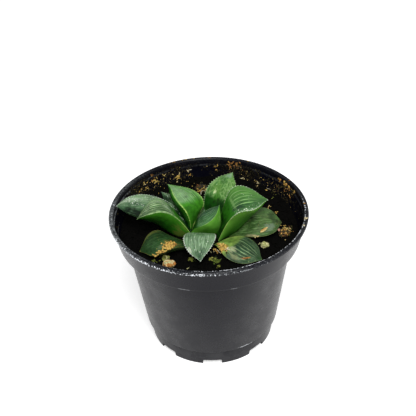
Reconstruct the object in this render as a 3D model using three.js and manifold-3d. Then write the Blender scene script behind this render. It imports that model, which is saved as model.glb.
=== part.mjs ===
// A small haworthia in a black plastic nursery pot.
// Units are millimetres, +Z is up, and the origin is the middle of the pot's foot, on the ground.
// The plant's front leaf points to -Y.

import * as THREE from "three";
import { mergeVertices } from "three/addons/utils/BufferGeometryUtils.js";
import Module from "manifold-3d";

const wasm = await Module();
wasm.setup();

// Pot: radii and heights
const rimRadius = 44.5;
const potHeight = 67.4;
const lipWidth = 2.0;
const lipOverhang = 0.9;
const collarBottom = 54.6;
const collarBottomRadius = 41.2;
const bodyTopRadius = 37.6;
const bodyBottomRadius = 31.3;
const footHeight = 8.8;
const footTopRadius = 29.9;
const footBottomRadius = 29.1;
const wall = 1.0;
const insideLedgeHeight = 64.2;
const potSides = 60;

// Pot: notches in the foot ring and drain holes in the floor
const notchCount = 8;
const notchWidth = 8.7;
const notchHeight = 2.4;
const notchTurn = -1.3;
const drainHoleRadius = 3.0;
const drainHoleCircle = 21.5;

// Soil
const soilHeight = 55.3;
const soilSides = 40;
const gap = 0.3;

// Plant
const crown = [-1, -2];
const stemRadius = 2.6;
const stemBottom = 42;
const stemTop = 55.6;
const toothLength = 0.45;

// Leaves, from the heart of the rosette outwards. Every reach is measured from the crown and every
// height from the pot's rim. "face" is the curve down the middle of the upper face and "keel" the one
// under it; both end at the tip. "bulge" is how far the upper face is domed.
const leaves = [
  { name: "leaf_inner", azimuth: 98, width: 6, rows: 14, tooth: 0,
    face: [[-1, -11.5], [1.5, -8], [4, -5.5], [6.5, -3]], keel: [[1.5, -12.8], [5, -10], [7, -5.5]],
    keelShift: 0, rollRoot: 0, rollTip: 0, sway: 0, offset: 0, widest: 0.45, taper: 1.8, bulge: 0.3,
    rootShare: 0.5, color: "#2f5a24" },
  { name: "leaf_centre", azimuth: -1.9, width: 10.4, rows: 22, tooth: 0.2,
    face: [[-6.9, -10.7], [-6.1, -3.2], [3.6, -2.8], [5.9, 3.8]],
    keel: [[0.2, -13.7], [8.2, -12.3], [6.7, -4.1]],
    keelShift: 0, rollRoot: -13.1, rollTip: 11.3, sway: -0.1, offset: -1, widest: 0.5, taper: 1.69,
    bulge: 0.5, rootShare: 0.44, color: "#3f8a2b" },
  { name: "leaf_back_right", azimuth: 60.3, width: 14.5, rows: 32, tooth: 1,
    face: [[2.2, -11.4], [9.5, -6.4], [13.4, 6.2], [24.5, 6.8]],
    keel: [[5, -13.2], [14, -10], [19, -1]],
    keelShift: 0, rollRoot: -3.7, rollTip: 5.5, sway: -0.8, offset: 0.5, widest: 0.56, taper: 1.71,
    bulge: 0.8, rootShare: 0.49, color: "#4f8a45" },
  { name: "leaf_right", azimuth: 6.9, width: 19, rows: 36, tooth: 1,
    face: [[4, -11.5], [10.8, 4.7], [11.1, 9.7], [28.2, 2.2]],
    keel: [[6.6, -14.3], [16.5, -13.7], [19.3, -0.5]],
    keelShift: 0.09, rollRoot: -2.1, rollTip: 3.4, sway: 0.9, offset: -2.6, widest: 0.68,
    taper: 1.93, bulge: 0.9, rootShare: 0.51, color: "#3f8434" },
  { name: "leaf_back_left", azimuth: 137.4, width: 13.2, rows: 30, tooth: 0.6,
    face: [[5.3, -11], [6, -4], [0.7, 5.9], [26.9, 1.7]],
    keel: [[5.9, -12.9], [13.1, -9.2], [19.5, -2.3]],
    keelShift: -0.05, rollRoot: 25.2, rollTip: -1.6, sway: -3.3, offset: 3.6, widest: 0.6,
    taper: 2.17, bulge: 1, rootShare: 0.45, color: "#47823c" },
  { name: "leaf_left", azimuth: 187, width: 13.6, rows: 30, tooth: 0.4,
    face: [[6.7, -11.7], [13.5, 1.9], [19.6, 14.7], [31, -1.3]],
    keel: [[7.2, -13.7], [18.3, -14.1], [22.4, 1.4]],
    keelShift: -0.15, rollRoot: 12.1, rollTip: 6.5, sway: -1.3, offset: 0.5, widest: 0.7, taper: 1.7,
    bulge: 1, rootShare: 0.45, color: "#3f8434" },
  { name: "leaf_front", azimuth: -101, width: 13.8, rows: 26, tooth: 0.6,
    face: [[3.4, -11.6], [7.6, -1.1], [20.9, -3.2], [25.4, -7.8]],
    keel: [[5, -13.5], [13, -10], [20, -7]],
    keelShift: 0, rollRoot: 0.4, rollTip: 9.9, sway: 1.8, offset: -2.1, widest: 0.47, taper: 1.9,
    bulge: 0.8, rootShare: 0.5, color: "#5f8f5a" },
  { name: "leaf_far_left", azimuth: 172.4, width: 14.5, rows: 26, tooth: 0.4,
    face: [[4, -11.9], [10.4, -0.2], [31.5, 5.3], [40.9, 0.9]],
    keel: [[7, -13.7], [16, -9], [28, -4]],
    keelShift: 0, rollRoot: 4, rollTip: -14.3, sway: 0.1, offset: 0, widest: 0.6, taper: 1.97,
    bulge: 1.2, rootShare: 0.5, color: "#4d7350" },
  { name: "leaf_back_left_small", azimuth: 135, width: 10, rows: 20, tooth: 0.4,
    face: [[6, -12.2], [12, -8], [20, -4], [29.5, -2.5]],
    keel: [[8, -13.5], [14, -12], [22, -8]],
    keelShift: 0, rollRoot: 0, rollTip: 0, sway: 0, offset: 0, widest: 0.5, taper: 1.8, bulge: 0.8,
    rootShare: 0.5, color: "#4a6e4a" },
  { name: "leaf_back", azimuth: 101, width: 12, rows: 16, tooth: 0,
    face: [[5, -12], [9, -8], [13, -7], [18.5, -8]],
    keel: [[7, -13.4], [11, -12.4], [15, -10.5]],
    keelShift: 0, rollRoot: 0, rollTip: 0, sway: 0, offset: 0, widest: 0.5, taper: 2, bulge: 0.7,
    rootShare: 0.5, color: "#4a6e3c" },
  { name: "leaf_old_right", azimuth: 1.4, width: 18.1, rows: 20, tooth: 0,
    face: [[8, -11.9], [13.9, -7.1], [28.2, -5.6], [34, -8.8]],
    keel: [[10, -13.7], [18, -12.6], [26, -11]],
    keelShift: 0, rollRoot: 9.7, rollTip: 11.5, sway: 1, offset: 0.1, widest: 0.55, taper: 2.39,
    bulge: 1, rootShare: 0.45, color: "#4d7039" },
  { name: "leaf_old_back_right", azimuth: 35, width: 13, rows: 16, tooth: 0,
    face: [[7, -12], [12, -8.5], [19, -7], [26, -8.5]],
    keel: [[9, -13.4], [14, -12.4], [20, -11]],
    keelShift: 0, rollRoot: 0, rollTip: 0, sway: 0, offset: 0, widest: 0.5, taper: 2, bulge: 0.8,
    rootShare: 0.5, color: "#4a6e3c" },
  { name: "leaf_old_front_right", azimuth: -45.2, width: 15.9, rows: 20, tooth: 0,
    face: [[7.8, -12.3], [14, -5.3], [22.4, -12.3], [32.1, -10.4]],
    keel: [[8.3, -14.1], [17, -12.8], [26, -12.6]],
    keelShift: 0, rollRoot: -8.8, rollTip: 12.2, sway: 1, offset: -2.3, widest: 0.53, taper: 2.25,
    bulge: 1.1, rootShare: 0.4, color: "#55743a" },
  { name: "leaf_old_front_left", azimuth: 207.7, width: 17.2, rows: 20, tooth: 0,
    face: [[8.8, -12.2], [20.8, -5.3], [23.1, -4.1], [32.5, -11]],
    keel: [[9.3, -14], [17, -12.6], [25, -12]],
    keelShift: 0, rollRoot: 11, rollTip: 1.8, sway: -2.5, offset: 4.6, widest: 0.59, taper: 2.56,
    bulge: 1.1, rootShare: 0.46, color: "#4d6c33" },
];

// Loose pieces that lie half sunk in the soil: place, half sizes, turn and a seed for the lumps
const loosePieces = [
  { name: "pumice_stone", at: [-17.8, -24.2, 56.5], size: [2.9, 2.2, 1.8], turn: 10, seed: 3,
    color: "#b98a4c" },
  { name: "pumice_crumb_left", at: [-19.3, -19.6, 56.1], size: [1.8, 1.4, 1.3], turn: 40, seed: 5,
    color: "#c2b06a" },
  { name: "pumice_crumb_right", at: [24.2, -13.2, 56.3], size: [1.8, 1.7, 1.4], turn: 0, seed: 9,
    color: "#b9b47a" },
  { name: "bark_chip_right", at: [33.6, -5.6, 56.9], size: [2.7, 2.1, 1.7], turn: 30, seed: 12,
    color: "#a8774c" },
  { name: "bark_chip_back", at: [-2.8, 32.2, 57.9], size: [3.2, 2.2, 1.6], turn: -10, seed: 30,
    color: "#8f6a2c" },
];

// One closed solid of a three.js geometry, ready for a join or a cut.
function solidOf(geometry) {
  const bare = geometry.clone();
  bare.deleteAttribute("normal");
  bare.deleteAttribute("uv");
  const merged = mergeVertices(bare, 1e-4);
  const corners = [];
  const index = merged.index.array;
  for (let i = 0; i < index.length; i += 3) {
    const [a, b, c] = [index[i], index[i + 1], index[i + 2]];
    if (a !== b && b !== c && c !== a) {
      corners.push(a, b, c);
    }
  }
  const mesh = new wasm.Mesh({
    numProp: 3,
    vertProperties: new Float32Array(merged.attributes.position.array),
    triVerts: new Uint32Array(corners),
  });
  return new wasm.Manifold(mesh);
}

// The largest body of a solid: what a cut leaves loose is dropped.
function largestBody(solid) {
  const bodies = solid.decompose();
  bodies.sort((one, other) => other.volume() - one.volume());
  return bodies[0];
}

function geometryOf(solid) {
  const mesh = solid.getMesh();
  const geometry = new THREE.BufferGeometry();
  geometry.setAttribute("position", new THREE.BufferAttribute(mesh.vertProperties, 3));
  geometry.setIndex(new THREE.BufferAttribute(mesh.triVerts, 1));
  geometry.computeVertexNormals();
  return geometry;
}

function meshOf(name, solid, color, roughness) {
  const material = new THREE.MeshStandardMaterial({ color, roughness, metalness: 0 });
  const mesh = new THREE.Mesh(geometryOf(solid), material);
  mesh.name = name;
  return mesh;
}

function smoothStep(x) {
  const t = Math.min(Math.max(x, 0), 1);
  return t * t * (3 - 2 * t);
}

// Pot: a turned shell with a thick rolled lip, an inward step under the collar and a foot ring
function potShell() {
  const innerLip = rimRadius - lipWidth;
  const collarTop = potHeight - 2.0;
  const collarTopRadius = rimRadius - lipOverhang;
  const profile = [
    [0, footHeight + wall + 0.1],
    [footTopRadius + 0.3, footHeight + wall + 0.1],
    [bodyTopRadius - wall, collarBottom + 0.2],
    [bodyTopRadius - wall + 0.3, collarBottom + 0.8],
    [collarBottomRadius - wall, collarBottom + 1.0],
    [collarBottomRadius - wall + 0.3, collarBottom + 1.5],
    [innerLip - 0.4, insideLedgeHeight - 0.3],
    [innerLip - 0.1, insideLedgeHeight + 0.1],
    [innerLip, potHeight - 0.5],
    [innerLip + 0.4, potHeight - 0.05],
    [innerLip + 1.0, potHeight],
    [rimRadius - 0.5, potHeight],
    [rimRadius - 0.1, potHeight - 0.4],
    [rimRadius, potHeight - 0.9],
    [rimRadius - 0.1, potHeight - 1.5],
    [collarTopRadius + 0.1, collarTop],
    [collarTopRadius - 0.1, collarTop - 0.4],
    [collarBottomRadius + 0.1, collarBottom + 1.1],
    [collarBottomRadius - 0.3, collarBottom + 0.2],
    [collarBottomRadius - 0.9, collarBottom],
    [bodyTopRadius + 0.4, collarBottom - 0.2],
    [bodyTopRadius, collarBottom - 0.9],
    [bodyBottomRadius + 0.1, footHeight + 0.8],
    [bodyBottomRadius - 0.4, footHeight + 0.1],
    [footTopRadius, footHeight - 0.2],
    [footBottomRadius, 0],
    [footBottomRadius - wall, 0],
    [footTopRadius - wall, footHeight - 0.5],
    [footTopRadius - wall - 0.8, footHeight],
    [0, footHeight],
  ];
  const points = profile.map(([radius, height]) => new THREE.Vector2(radius, height));
  points.reverse();
  const shell = new THREE.LatheGeometry(points, potSides);
  shell.rotateX(Math.PI / 2);
  return solidOf(shell);
}

// A block with sloped sides, narrower at its top, that cuts one notch out of the foot ring
function notchCutter(azimuth) {
  const half = notchWidth / 2;
  const outline = new THREE.Shape();
  outline.moveTo(-half - 0.3, -1);
  outline.lineTo(half + 0.3, -1);
  outline.lineTo(half, notchHeight - 0.8);
  outline.lineTo(half - 0.8, notchHeight);
  outline.lineTo(-half + 0.8, notchHeight);
  outline.lineTo(-half, notchHeight - 0.8);
  outline.closePath();
  const block = new THREE.ExtrudeGeometry(outline, { depth: 8, bevelEnabled: false });
  block.rotateX(Math.PI / 2);
  block.translate(0, -footBottomRadius + 5, 0);
  block.rotateZ(azimuth);
  return solidOf(block);
}

function drainHole(x, y, radius) {
  const hole = new THREE.CylinderGeometry(radius, radius, 6, 16);
  hole.rotateX(Math.PI / 2);
  hole.translate(x, y, footHeight);
  return solidOf(hole);
}

function makePot() {
  let pot = potShell();
  for (let i = 0; i < notchCount; i += 1) {
    const azimuth = THREE.MathUtils.degToRad(notchTurn + (i * 360) / notchCount);
    pot = pot.subtract(notchCutter(azimuth));
    if (i % 2 === 1) {
      const x = drainHoleCircle * Math.sin(azimuth);
      const y = -drainHoleCircle * Math.cos(azimuth);
      pot = pot.subtract(drainHole(x, y, drainHoleRadius));
    }
  }
  return pot.subtract(drainHole(0, 0, drainHoleRadius * 1.2));
}

function curvePoint(points, t) {
  const u = 1 - t;
  const weights = [u * u * u, 3 * u * u * t, 3 * u * t * t, t * t * t];
  const reach = weights.reduce((sum, w, i) => sum + w * points[i][0], 0);
  const height = weights.reduce((sum, w, i) => sum + w * points[i][1], 0);
  return [reach, height];
}

function curveSlope(points, t) {
  const u = 1 - t;
  const weights = [3 * u * u, 6 * u * t, 3 * t * t];
  return [0, 1].map((axis) =>
    weights.reduce((sum, w, i) => sum + w * (points[i + 1][axis] - points[i][axis]), 0));
}

// A leaf's cross section, all the way round: the share of the half width, of the dome over the face
// and of the depth down to the keel
const section = [
  [1, 0, 0], [0.62, 0.66, 0], [0, 1, 0], [-0.62, 0.66, 0], [-1, 0, 0],
  [-0.84, 0, 0.4], [-0.42, 0, 0.82], [0, 0, 1], [0.42, 0, 0.82], [0.84, 0, 0.4],
];

// The frame of one cross section at t, from 0 at the root to 1 at the tip
function leafFrame(leaf, t) {
  const azimuth = THREE.MathUtils.degToRad(leaf.azimuth);
  const out = new THREE.Vector3(Math.cos(azimuth), Math.sin(azimuth), 0);
  const across = new THREE.Vector3(-Math.sin(azimuth), Math.cos(azimuth), 0);
  const up = new THREE.Vector3(0, 0, 1);
  const origin = new THREE.Vector3(crown[0], crown[1], potHeight);
  const drift = leaf.offset * (1 - t) + leaf.sway * t * t;
  const place = ([reach, height]) => origin.clone().addScaledVector(out, reach)
    .addScaledVector(up, height).addScaledVector(across, drift);
  const [slopeOut, slopeUp] = curveSlope(leaf.face, t);
  const along = out.clone().multiplyScalar(slopeOut).addScaledVector(up, slopeUp)
    .addScaledVector(across, 2 * leaf.sway * t - leaf.offset).normalize();
  const side = across.clone().addScaledVector(along, -across.dot(along)).normalize();
  const normal = along.clone().cross(side);
  const roll = THREE.MathUtils.degToRad(leaf.rollRoot * (1 - t) + leaf.rollTip * t);
  const rolledSide = side.clone().multiplyScalar(Math.cos(roll))
    .addScaledVector(normal, Math.sin(roll));
  const rolledNormal = normal.clone().multiplyScalar(Math.cos(roll))
    .addScaledVector(side, -Math.sin(roll));
  const face = place(curvePoint(leaf.face, t));
  const keel = place(curvePoint([...leaf.keel, leaf.face[3]], t));
  return { face, keel, along, side: rolledSide, normal: rolledNormal };
}

// Half width of the face and height of its dome at t
function leafWidths(leaf, t) {
  const tip = Math.min(Math.max((t - leaf.widest) / (1 - leaf.widest), 0), 1);
  const half = leaf.width / 2;
  if (t < leaf.widest) {
    const share = leaf.rootShare + (1 - leaf.rootShare) * smoothStep(t / leaf.widest);
    const rise = smoothStep((t - 0.25) / (leaf.widest - 0.25));
    return [half * share, Math.max(leaf.bulge * rise, 0.02)];
  }
  return [half * (1 - tip ** leaf.taper), leaf.bulge * (1 - tip * tip)];
}

// A leaf, grown from a cone whose rows of corners are carried onto the leaf's cross sections. Every
// other row is wider by one tooth. "swell" makes it that much larger all round, with half the rows,
// which gives the clearance of whatever touches it.
function leafSolid(leaf, swell = 0) {
  const corners = section.length;
  const rows = swell > 0 ? leaf.rows / 2 : leaf.rows;
  const cone = new THREE.ConeGeometry(1, 1, corners, rows);
  const position = cone.attributes.position;
  for (let i = 0; i < position.count; i += 1) {
    const t = position.getY(i) + 0.5;
    const row = Math.round(t * rows);
    const isCap = Math.hypot(position.getX(i), position.getZ(i)) < 1e-6 && row === 0;
    const turn = Math.atan2(position.getX(i), position.getZ(i)) / (2 * Math.PI);
    const corner = ((Math.round(turn * corners) % corners) + corners) % corners;
    const { face, keel, along, side, normal } = leafFrame(leaf, t);
    const [half, dome] = leafWidths(leaf, t);
    const [widthShare, domeShare, keelShare] = section[corner];
    const point = face.clone();
    const isTip = row === rows;
    if (isCap) {
      point.lerp(keel, 0.5);
    } else if (!isTip) {
      const isMargin = Math.abs(widthShare) === 1;
      const hasTooth = isMargin && (swell > 0 || (row % 2 === 1 && t > 0.3));
      const tooth = hasTooth ? toothLength * leaf.tooth : 0;
      const depth = keel.clone().sub(face).addScaledVector(side, leaf.keelShift * half);
      depth.setLength(depth.length() + swell);
      point.addScaledVector(side, widthShare * (half + swell + tooth));
      point.addScaledVector(normal, domeShare * dome + (keelShare === 0 ? swell : 0));
      point.addScaledVector(depth, keelShare);
    }
    if (isTip) {
      point.addScaledVector(along, 3 * swell);
    }
    if (row === 0) {
      point.addScaledVector(along, -2 * swell);
    }
    position.setXYZ(i, point.x, point.y, point.z);
  }
  return solidOf(cone);
}

// The stem: a short stub, thicker at its foot
function stemSolid(swell = 0) {
  const profile = [
    [0, stemBottom - swell],
    [stemRadius * 0.6 + swell, stemBottom - swell],
    [stemRadius * 1.1 + swell, stemBottom + 3],
    [stemRadius + swell, stemTop - 2],
    [stemRadius * 0.7 + swell, stemTop + swell],
    [0, stemTop + swell],
  ];
  const points = profile.map(([radius, height]) => new THREE.Vector2(radius, height));
  const stub = new THREE.LatheGeometry(points, 14);
  stub.rotateX(Math.PI / 2);
  stub.translate(crown[0], crown[1], 0);
  return solidOf(stub);
}

// Height of the soil's surface: a slight crown in the middle, crumbs all over, and a bank that rises
// to the wall at the back
function soilSurface(x, y) {
  const radius = Math.hypot(x, y);
  const mound = 0.6 * Math.exp(-(((x + 2) ** 2) + ((y + 2) ** 2)) / 200);
  const back = smoothStep((y + 5) / 35) * smoothStep((radius - 26) / 12);
  const crumbs = 0.35 * Math.sin(0.9 * x + 1.3) * Math.cos(0.8 * y + 0.4)
    + 0.25 * Math.sin(1.7 * x - 1.1 * y) + 0.15 * Math.cos(2.3 * y + 0.7 * x);
  return soilHeight + mound + 2.6 * back + crumbs + 0.6 * smoothStep((radius - 30) / 8);
}

function soilSolid() {
  const ledge = collarBottom + 1.0 + gap;
  const outside = [
    [0, footHeight + wall + 0.1 + gap],
    [footTopRadius, footHeight + wall + 0.1 + gap],
    [bodyTopRadius - wall - gap, ledge - 0.9],
    [bodyTopRadius - wall - gap + 0.2, ledge],
    [collarBottomRadius - wall - gap, ledge + 0.1],
  ];
  const rings = [40.2, 38, 34, 30, 26, 22, 17, 12, 6, 0];
  const top = rings.map((radius) => [radius, soilHeight + 2]);
  const points = [...outside, ...top].map(([radius, height]) => new THREE.Vector2(radius, height));
  const body = new THREE.LatheGeometry(points, soilSides);
  body.rotateX(Math.PI / 2);
  const position = body.attributes.position;
  for (let i = 0; i < position.count; i += 1) {
    if (position.getZ(i) > soilHeight + 1.9) {
      position.setZ(i, soilSurface(position.getX(i), position.getY(i)));
    }
  }
  return solidOf(body);
}

// A lumpy stone or chip: an icosahedron's ball, pushed in and out by a seeded rule
function looseSolid(piece, swell = 0) {
  const ball = new THREE.IcosahedronGeometry(1, 2);
  const position = ball.attributes.position;
  for (let i = 0; i < position.count; i += 1) {
    const [x, y, z] = [position.getX(i), position.getY(i), position.getZ(i)];
    const lump = 1 + 0.12 * Math.sin(3.1 * x + piece.seed) * Math.cos(2.7 * y - piece.seed)
      + 0.08 * Math.sin(5.3 * z + 2 * piece.seed + 2.2 * x);
    position.setXYZ(i, x * (piece.size[0] * lump + swell), y * (piece.size[1] * lump + swell),
      z * (piece.size[2] * lump + swell));
  }
  ball.rotateZ(THREE.MathUtils.degToRad(piece.turn));
  ball.translate(...piece.at);
  return solidOf(ball);
}

const part = new THREE.Group();
part.add(meshOf("pot", makePot(), "#26272b", 0.5));
part.add(meshOf("stem", stemSolid(), "#7d8a4a", 0.7));

// Each leaf makes way for the stem and for the leaves inside it, and the loose pieces and the soil
// make way for all of them.
const clearances = [stemSolid(gap)];
const cutClear = (solid) => clearances.reduce((left, other) => left.subtract(other), solid);

for (const leaf of leaves) {
  part.add(meshOf(leaf.name, largestBody(cutClear(leafSolid(leaf))), leaf.color, 0.45));
  clearances.push(leafSolid(leaf, gap + 0.05));
}
for (const piece of loosePieces) {
  part.add(meshOf(piece.name, largestBody(cutClear(looseSolid(piece))), piece.color, 0.9));
  clearances.push(looseSolid(piece, gap));
}
part.add(meshOf("soil", largestBody(cutClear(soilSolid())), "#17130f", 0.95));

export default part;
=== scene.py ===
import math
import random
from functools import partial
import bmesh
import bpy
from mathutils import Matrix, Vector, noise


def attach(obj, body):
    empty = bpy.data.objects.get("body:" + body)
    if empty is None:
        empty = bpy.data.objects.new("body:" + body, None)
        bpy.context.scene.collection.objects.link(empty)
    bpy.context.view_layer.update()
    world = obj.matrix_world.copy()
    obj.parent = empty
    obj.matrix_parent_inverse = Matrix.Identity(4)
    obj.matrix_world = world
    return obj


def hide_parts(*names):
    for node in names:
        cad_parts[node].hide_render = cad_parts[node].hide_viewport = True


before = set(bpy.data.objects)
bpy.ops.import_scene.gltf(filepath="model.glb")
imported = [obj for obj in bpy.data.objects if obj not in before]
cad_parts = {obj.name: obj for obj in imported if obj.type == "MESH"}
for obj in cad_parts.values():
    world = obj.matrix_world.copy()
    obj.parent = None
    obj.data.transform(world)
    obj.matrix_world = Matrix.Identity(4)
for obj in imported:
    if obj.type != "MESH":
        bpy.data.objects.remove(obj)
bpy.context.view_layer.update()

# A small haworthia in a black nursery pot. Sizes in the dictionaries are millimetres, +Z is up and the
# plant's front leaf points to -Y. Every mesh is made in millimetres and brought to metres at the end.
mm = 0.001

# settings that many nodes share
softStep = {"interpolation_type": "SMOOTHSTEP"}
plus = {"operation": "ADD"}
times = {"operation": "MULTIPLY"}
timesPlus = {"operation": "MULTIPLY_ADD"}
larger = {"operation": "MAXIMUM"}
mixColour = {"data_type": "RGBA", "at": (0, 6, 7), "out": 2}
shadeColour = {"blend_type": "MULTIPLY", **mixColour}


def linear(code):
    # "#rrggbb" as a linear colour for a shader's socket
    parts = [int(code[i:i + 2], 16) / 255 for i in (1, 3, 5)]
    return [p / 12.92 if p <= 0.04045 else ((p + 0.055) / 1.055) ** 2.4 for p in parts] + [1.0]


def setInputs(node, inputs):
    # an input is another node's output, which is linked, a colour's code or a plain value
    for name, value in inputs.items():
        socket = node.inputs[name]
        if isinstance(value, bpy.types.NodeSocket):
            node.id_data.links.new(value, socket)
        else:
            socket.default_value = linear(value) if isinstance(value, str) else value


def addNode(tree, kind, *values, at=range(9), out=0, **named):
    # the values go to the inputs numbered in "at"; a name with a capital is an input too, any other one a
    # setting. Gives back the new node's output "out".
    node = tree.nodes.new("ShaderNode" + kind)
    inputs = dict(zip(at, values))
    for name, value in named.items():
        if name[0].isupper():
            inputs[name] = value
        else:
            setattr(node, name, value)
    setInputs(node, inputs)
    return node.outputs[out]


def newMaterial(name):
    # the material, its shader and addNode for its own tree
    material = bpy.data.materials.new(name)
    material.use_nodes = True
    return material, material.node_tree.nodes["Principled BSDF"], partial(addNode, material.node_tree)


def patchMask(add, where, middle, reach, ragged, edge, strength, **settings):
    # a patch round a place, with its own reach each way; "ragged" holds noises and how much they fray it
    away = add("Mapping", where, Location=[-one / far for one, far in zip(middle, reach)],
               Scale=[1 / far for far in reach])
    away = add("VectorMath", away, out="Value", operation="LENGTH")
    for grain, weight in ragged:
        away = add("Math", grain, weight, away, **timesPlus)
    return add("MapRange", away, edge[0], edge[1], 0, strength, **settings)


def smooth(x):
    x = min(max(x, 0.0), 1.0)
    return x * x * (3 - 2 * x)


def rotation(angle, axis):
    return Matrix.Rotation(angle, 3, axis)


def onCircle(radius, angle, level):
    return Vector((radius * math.cos(angle), radius * math.sin(angle), level))


def pieceName(node):
    # leaf_back_left becomes leafBackLeft
    first, *others = node.split("_")
    return first + "".join(part.capitalize() for part in others)


def addObject(name, data, collection=None):
    made = bpy.data.objects.new(name, data)
    (collection or bpy.context.scene.collection).objects.link(made)
    return made


def meshObject(name, bm, collection=None):
    mesh = bpy.data.meshes.new(name)
    bm.to_mesh(mesh)
    return addObject(name, mesh, collection)


def putDown(bm, size, turn, place):
    bmesh.ops.scale(bm, vec=size, verts=bm.verts)
    bmesh.ops.rotate(bm, cent=(0, 0, 0), matrix=turn, verts=bm.verts)
    bmesh.ops.translate(bm, vec=place, verts=bm.verts)


def finishPiece(bm, name, material, replaced=(), crease=35):
    # merges what meets, points the faces outwards and brings the piece to metres
    bmesh.ops.remove_doubles(bm, verts=bm.verts, dist=1e-4)
    bmesh.ops.recalc_face_normals(bm, faces=bm.faces)
    bmesh.ops.scale(bm, vec=(mm, mm, mm), verts=bm.verts)
    for face in bm.faces:
        face.smooth = True
    piece = meshObject(name, bm)
    bm.free()
    piece.data.set_sharp_from_angle(angle=math.radians(crease))
    piece.data.materials.append(material)
    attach(piece, "root")
    if replaced:
        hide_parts(*replaced)
    print("made", name, len(piece.data.polygons), "faces")


def spinProfile(profile, steps, x=0.0, y=0.0):
    # a closed solid from radii and heights, spun round an upright axis
    bm = bmesh.new()
    corners = [bm.verts.new((x + radius, y, level)) for radius, level in profile]
    line = [bm.edges.new(pair) for pair in zip(corners, corners[1:])]
    bmesh.ops.spin(bm, geom=corners + line, cent=(x, y, 0), axis=(0, 0, 1), angle=2 * math.pi, steps=steps,
                   use_merge=True)
    bmesh.ops.remove_doubles(bm, verts=bm.verts, dist=1e-3)
    bmesh.ops.recalc_face_normals(bm, faces=bm.faces)
    return bm


def cutAway(bm, cutters):
    # takes the closed meshes in cutters out of bm and drops what the cut leaves loose
    group = bpy.data.collections.new("cutters")
    bpy.context.scene.collection.children.link(group)
    made = [meshObject("cutter", one, group) for one in cutters]
    made.append(meshObject("blank", bm))
    cut = made[-1].modifiers.new("cut", "BOOLEAN")
    cut.operation = "DIFFERENCE"
    cut.solver = "EXACT"
    cut.operand_type = "COLLECTION"
    cut.collection = group
    result = bpy.data.meshes.new_from_object(made[-1].evaluated_get(bpy.context.evaluated_depsgraph_get()))
    bm.clear()
    bm.from_mesh(result)
    for one in made:
        bpy.data.objects.remove(one)
    bpy.data.collections.remove(group)
    keepLargest(bm)


def keepLargest(bm):
    left = set(bm.verts)
    islands = []
    while left:
        island = set()
        reached = [left.pop()]
        while reached:
            vert = reached.pop()
            island.add(vert)
            fresh = left.intersection(link.other_vert(vert) for link in vert.link_edges)
            left -= fresh
            reached += fresh
        islands.append(island)
    islands.sort(key=len)
    bmesh.ops.delete(bm, geom=[vert for island in islands[:-1] for vert in island], context="VERTS")


# Camera, at the height and turn from which the plant was seen

camera = {
    "lens": 69.23,
    "place": (0.0, -0.2898, 0.2746),
    "target": (-0.00018, 0.0, 0.0680),
    "roll": -2.088,
}

eye, target = Vector(camera["place"]), Vector(camera["target"])
forward = (target - eye).normalized()
right = forward.cross(Vector((0, 0, 1))).normalized()
up = right.cross(forward)
roll = math.radians(camera["roll"])
right, up = (right * math.cos(roll) + up * math.sin(roll), up * math.cos(roll) - right * math.sin(roll))
lensData = bpy.data.cameras.new("camera")
lensData.lens = camera["lens"]
lensData.sensor_width = 36.0
lensData.clip_start = 0.01
lensData.clip_end = 100
cameraObject = addObject("camera", lensData)
cameraObject.matrix_world = Matrix.Translation(eye) @ Matrix((right, up, -forward)).transposed().to_4x4()
bpy.context.scene.camera = cameraObject


# Studio: a white photo table, one broad soft lamp overhead and white all round

studio = {
    "floorSide": 90.0,
    "floorColour": "#f6f6f6",
    "worldColour": "#ffffff",
    "worldStrength": 0.36,
    "floorGlow": 0.50,
    # place, target, side, watts
    "softbox": ((0.09, -0.62, 0.98), (0, 0, 0.05), 0.60, 12.2),
}

floorMesh = bmesh.new()
bmesh.ops.create_grid(floorMesh, x_segments=1, y_segments=1, size=studio["floorSide"] / 2)
floor = meshObject("tableTop", floorMesh)
floorMesh.free()

# the opal acrylic of a photo table, softly lit from below: matt, even white
acrylic, shader, add = newMaterial("opalAcrylicTable")
setInputs(shader, {"Base Color": studio["floorColour"], "Roughness": 0.9, "Specular IOR Level": 0.1,
                   "Emission Color": studio["floorColour"], "Emission Strength": studio["floorGlow"]})
floor.data.materials.append(acrylic)

world = bpy.data.worlds.new("studio")
world.use_nodes = True
setInputs(world.node_tree.nodes["Background"],
          {"Color": studio["worldColour"], "Strength": studio["worldStrength"]})
bpy.context.scene.world = world
bpy.context.scene.view_settings.view_transform = "Standard"
bpy.context.scene.view_settings.look = "None"

place, aim, side, watts = studio["softbox"]
lampData = bpy.data.lights.new("frontSoftbox", "AREA")
lampData.shape = "SQUARE"
lampData.size = side
lampData.energy = watts
lamp = addObject("frontSoftbox", lampData)
lamp.location = place
lamp.rotation_euler = (Vector(aim) - Vector(place)).to_track_quat("-Z", "Y").to_euler()
print("studio ready")


# Pot

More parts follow.
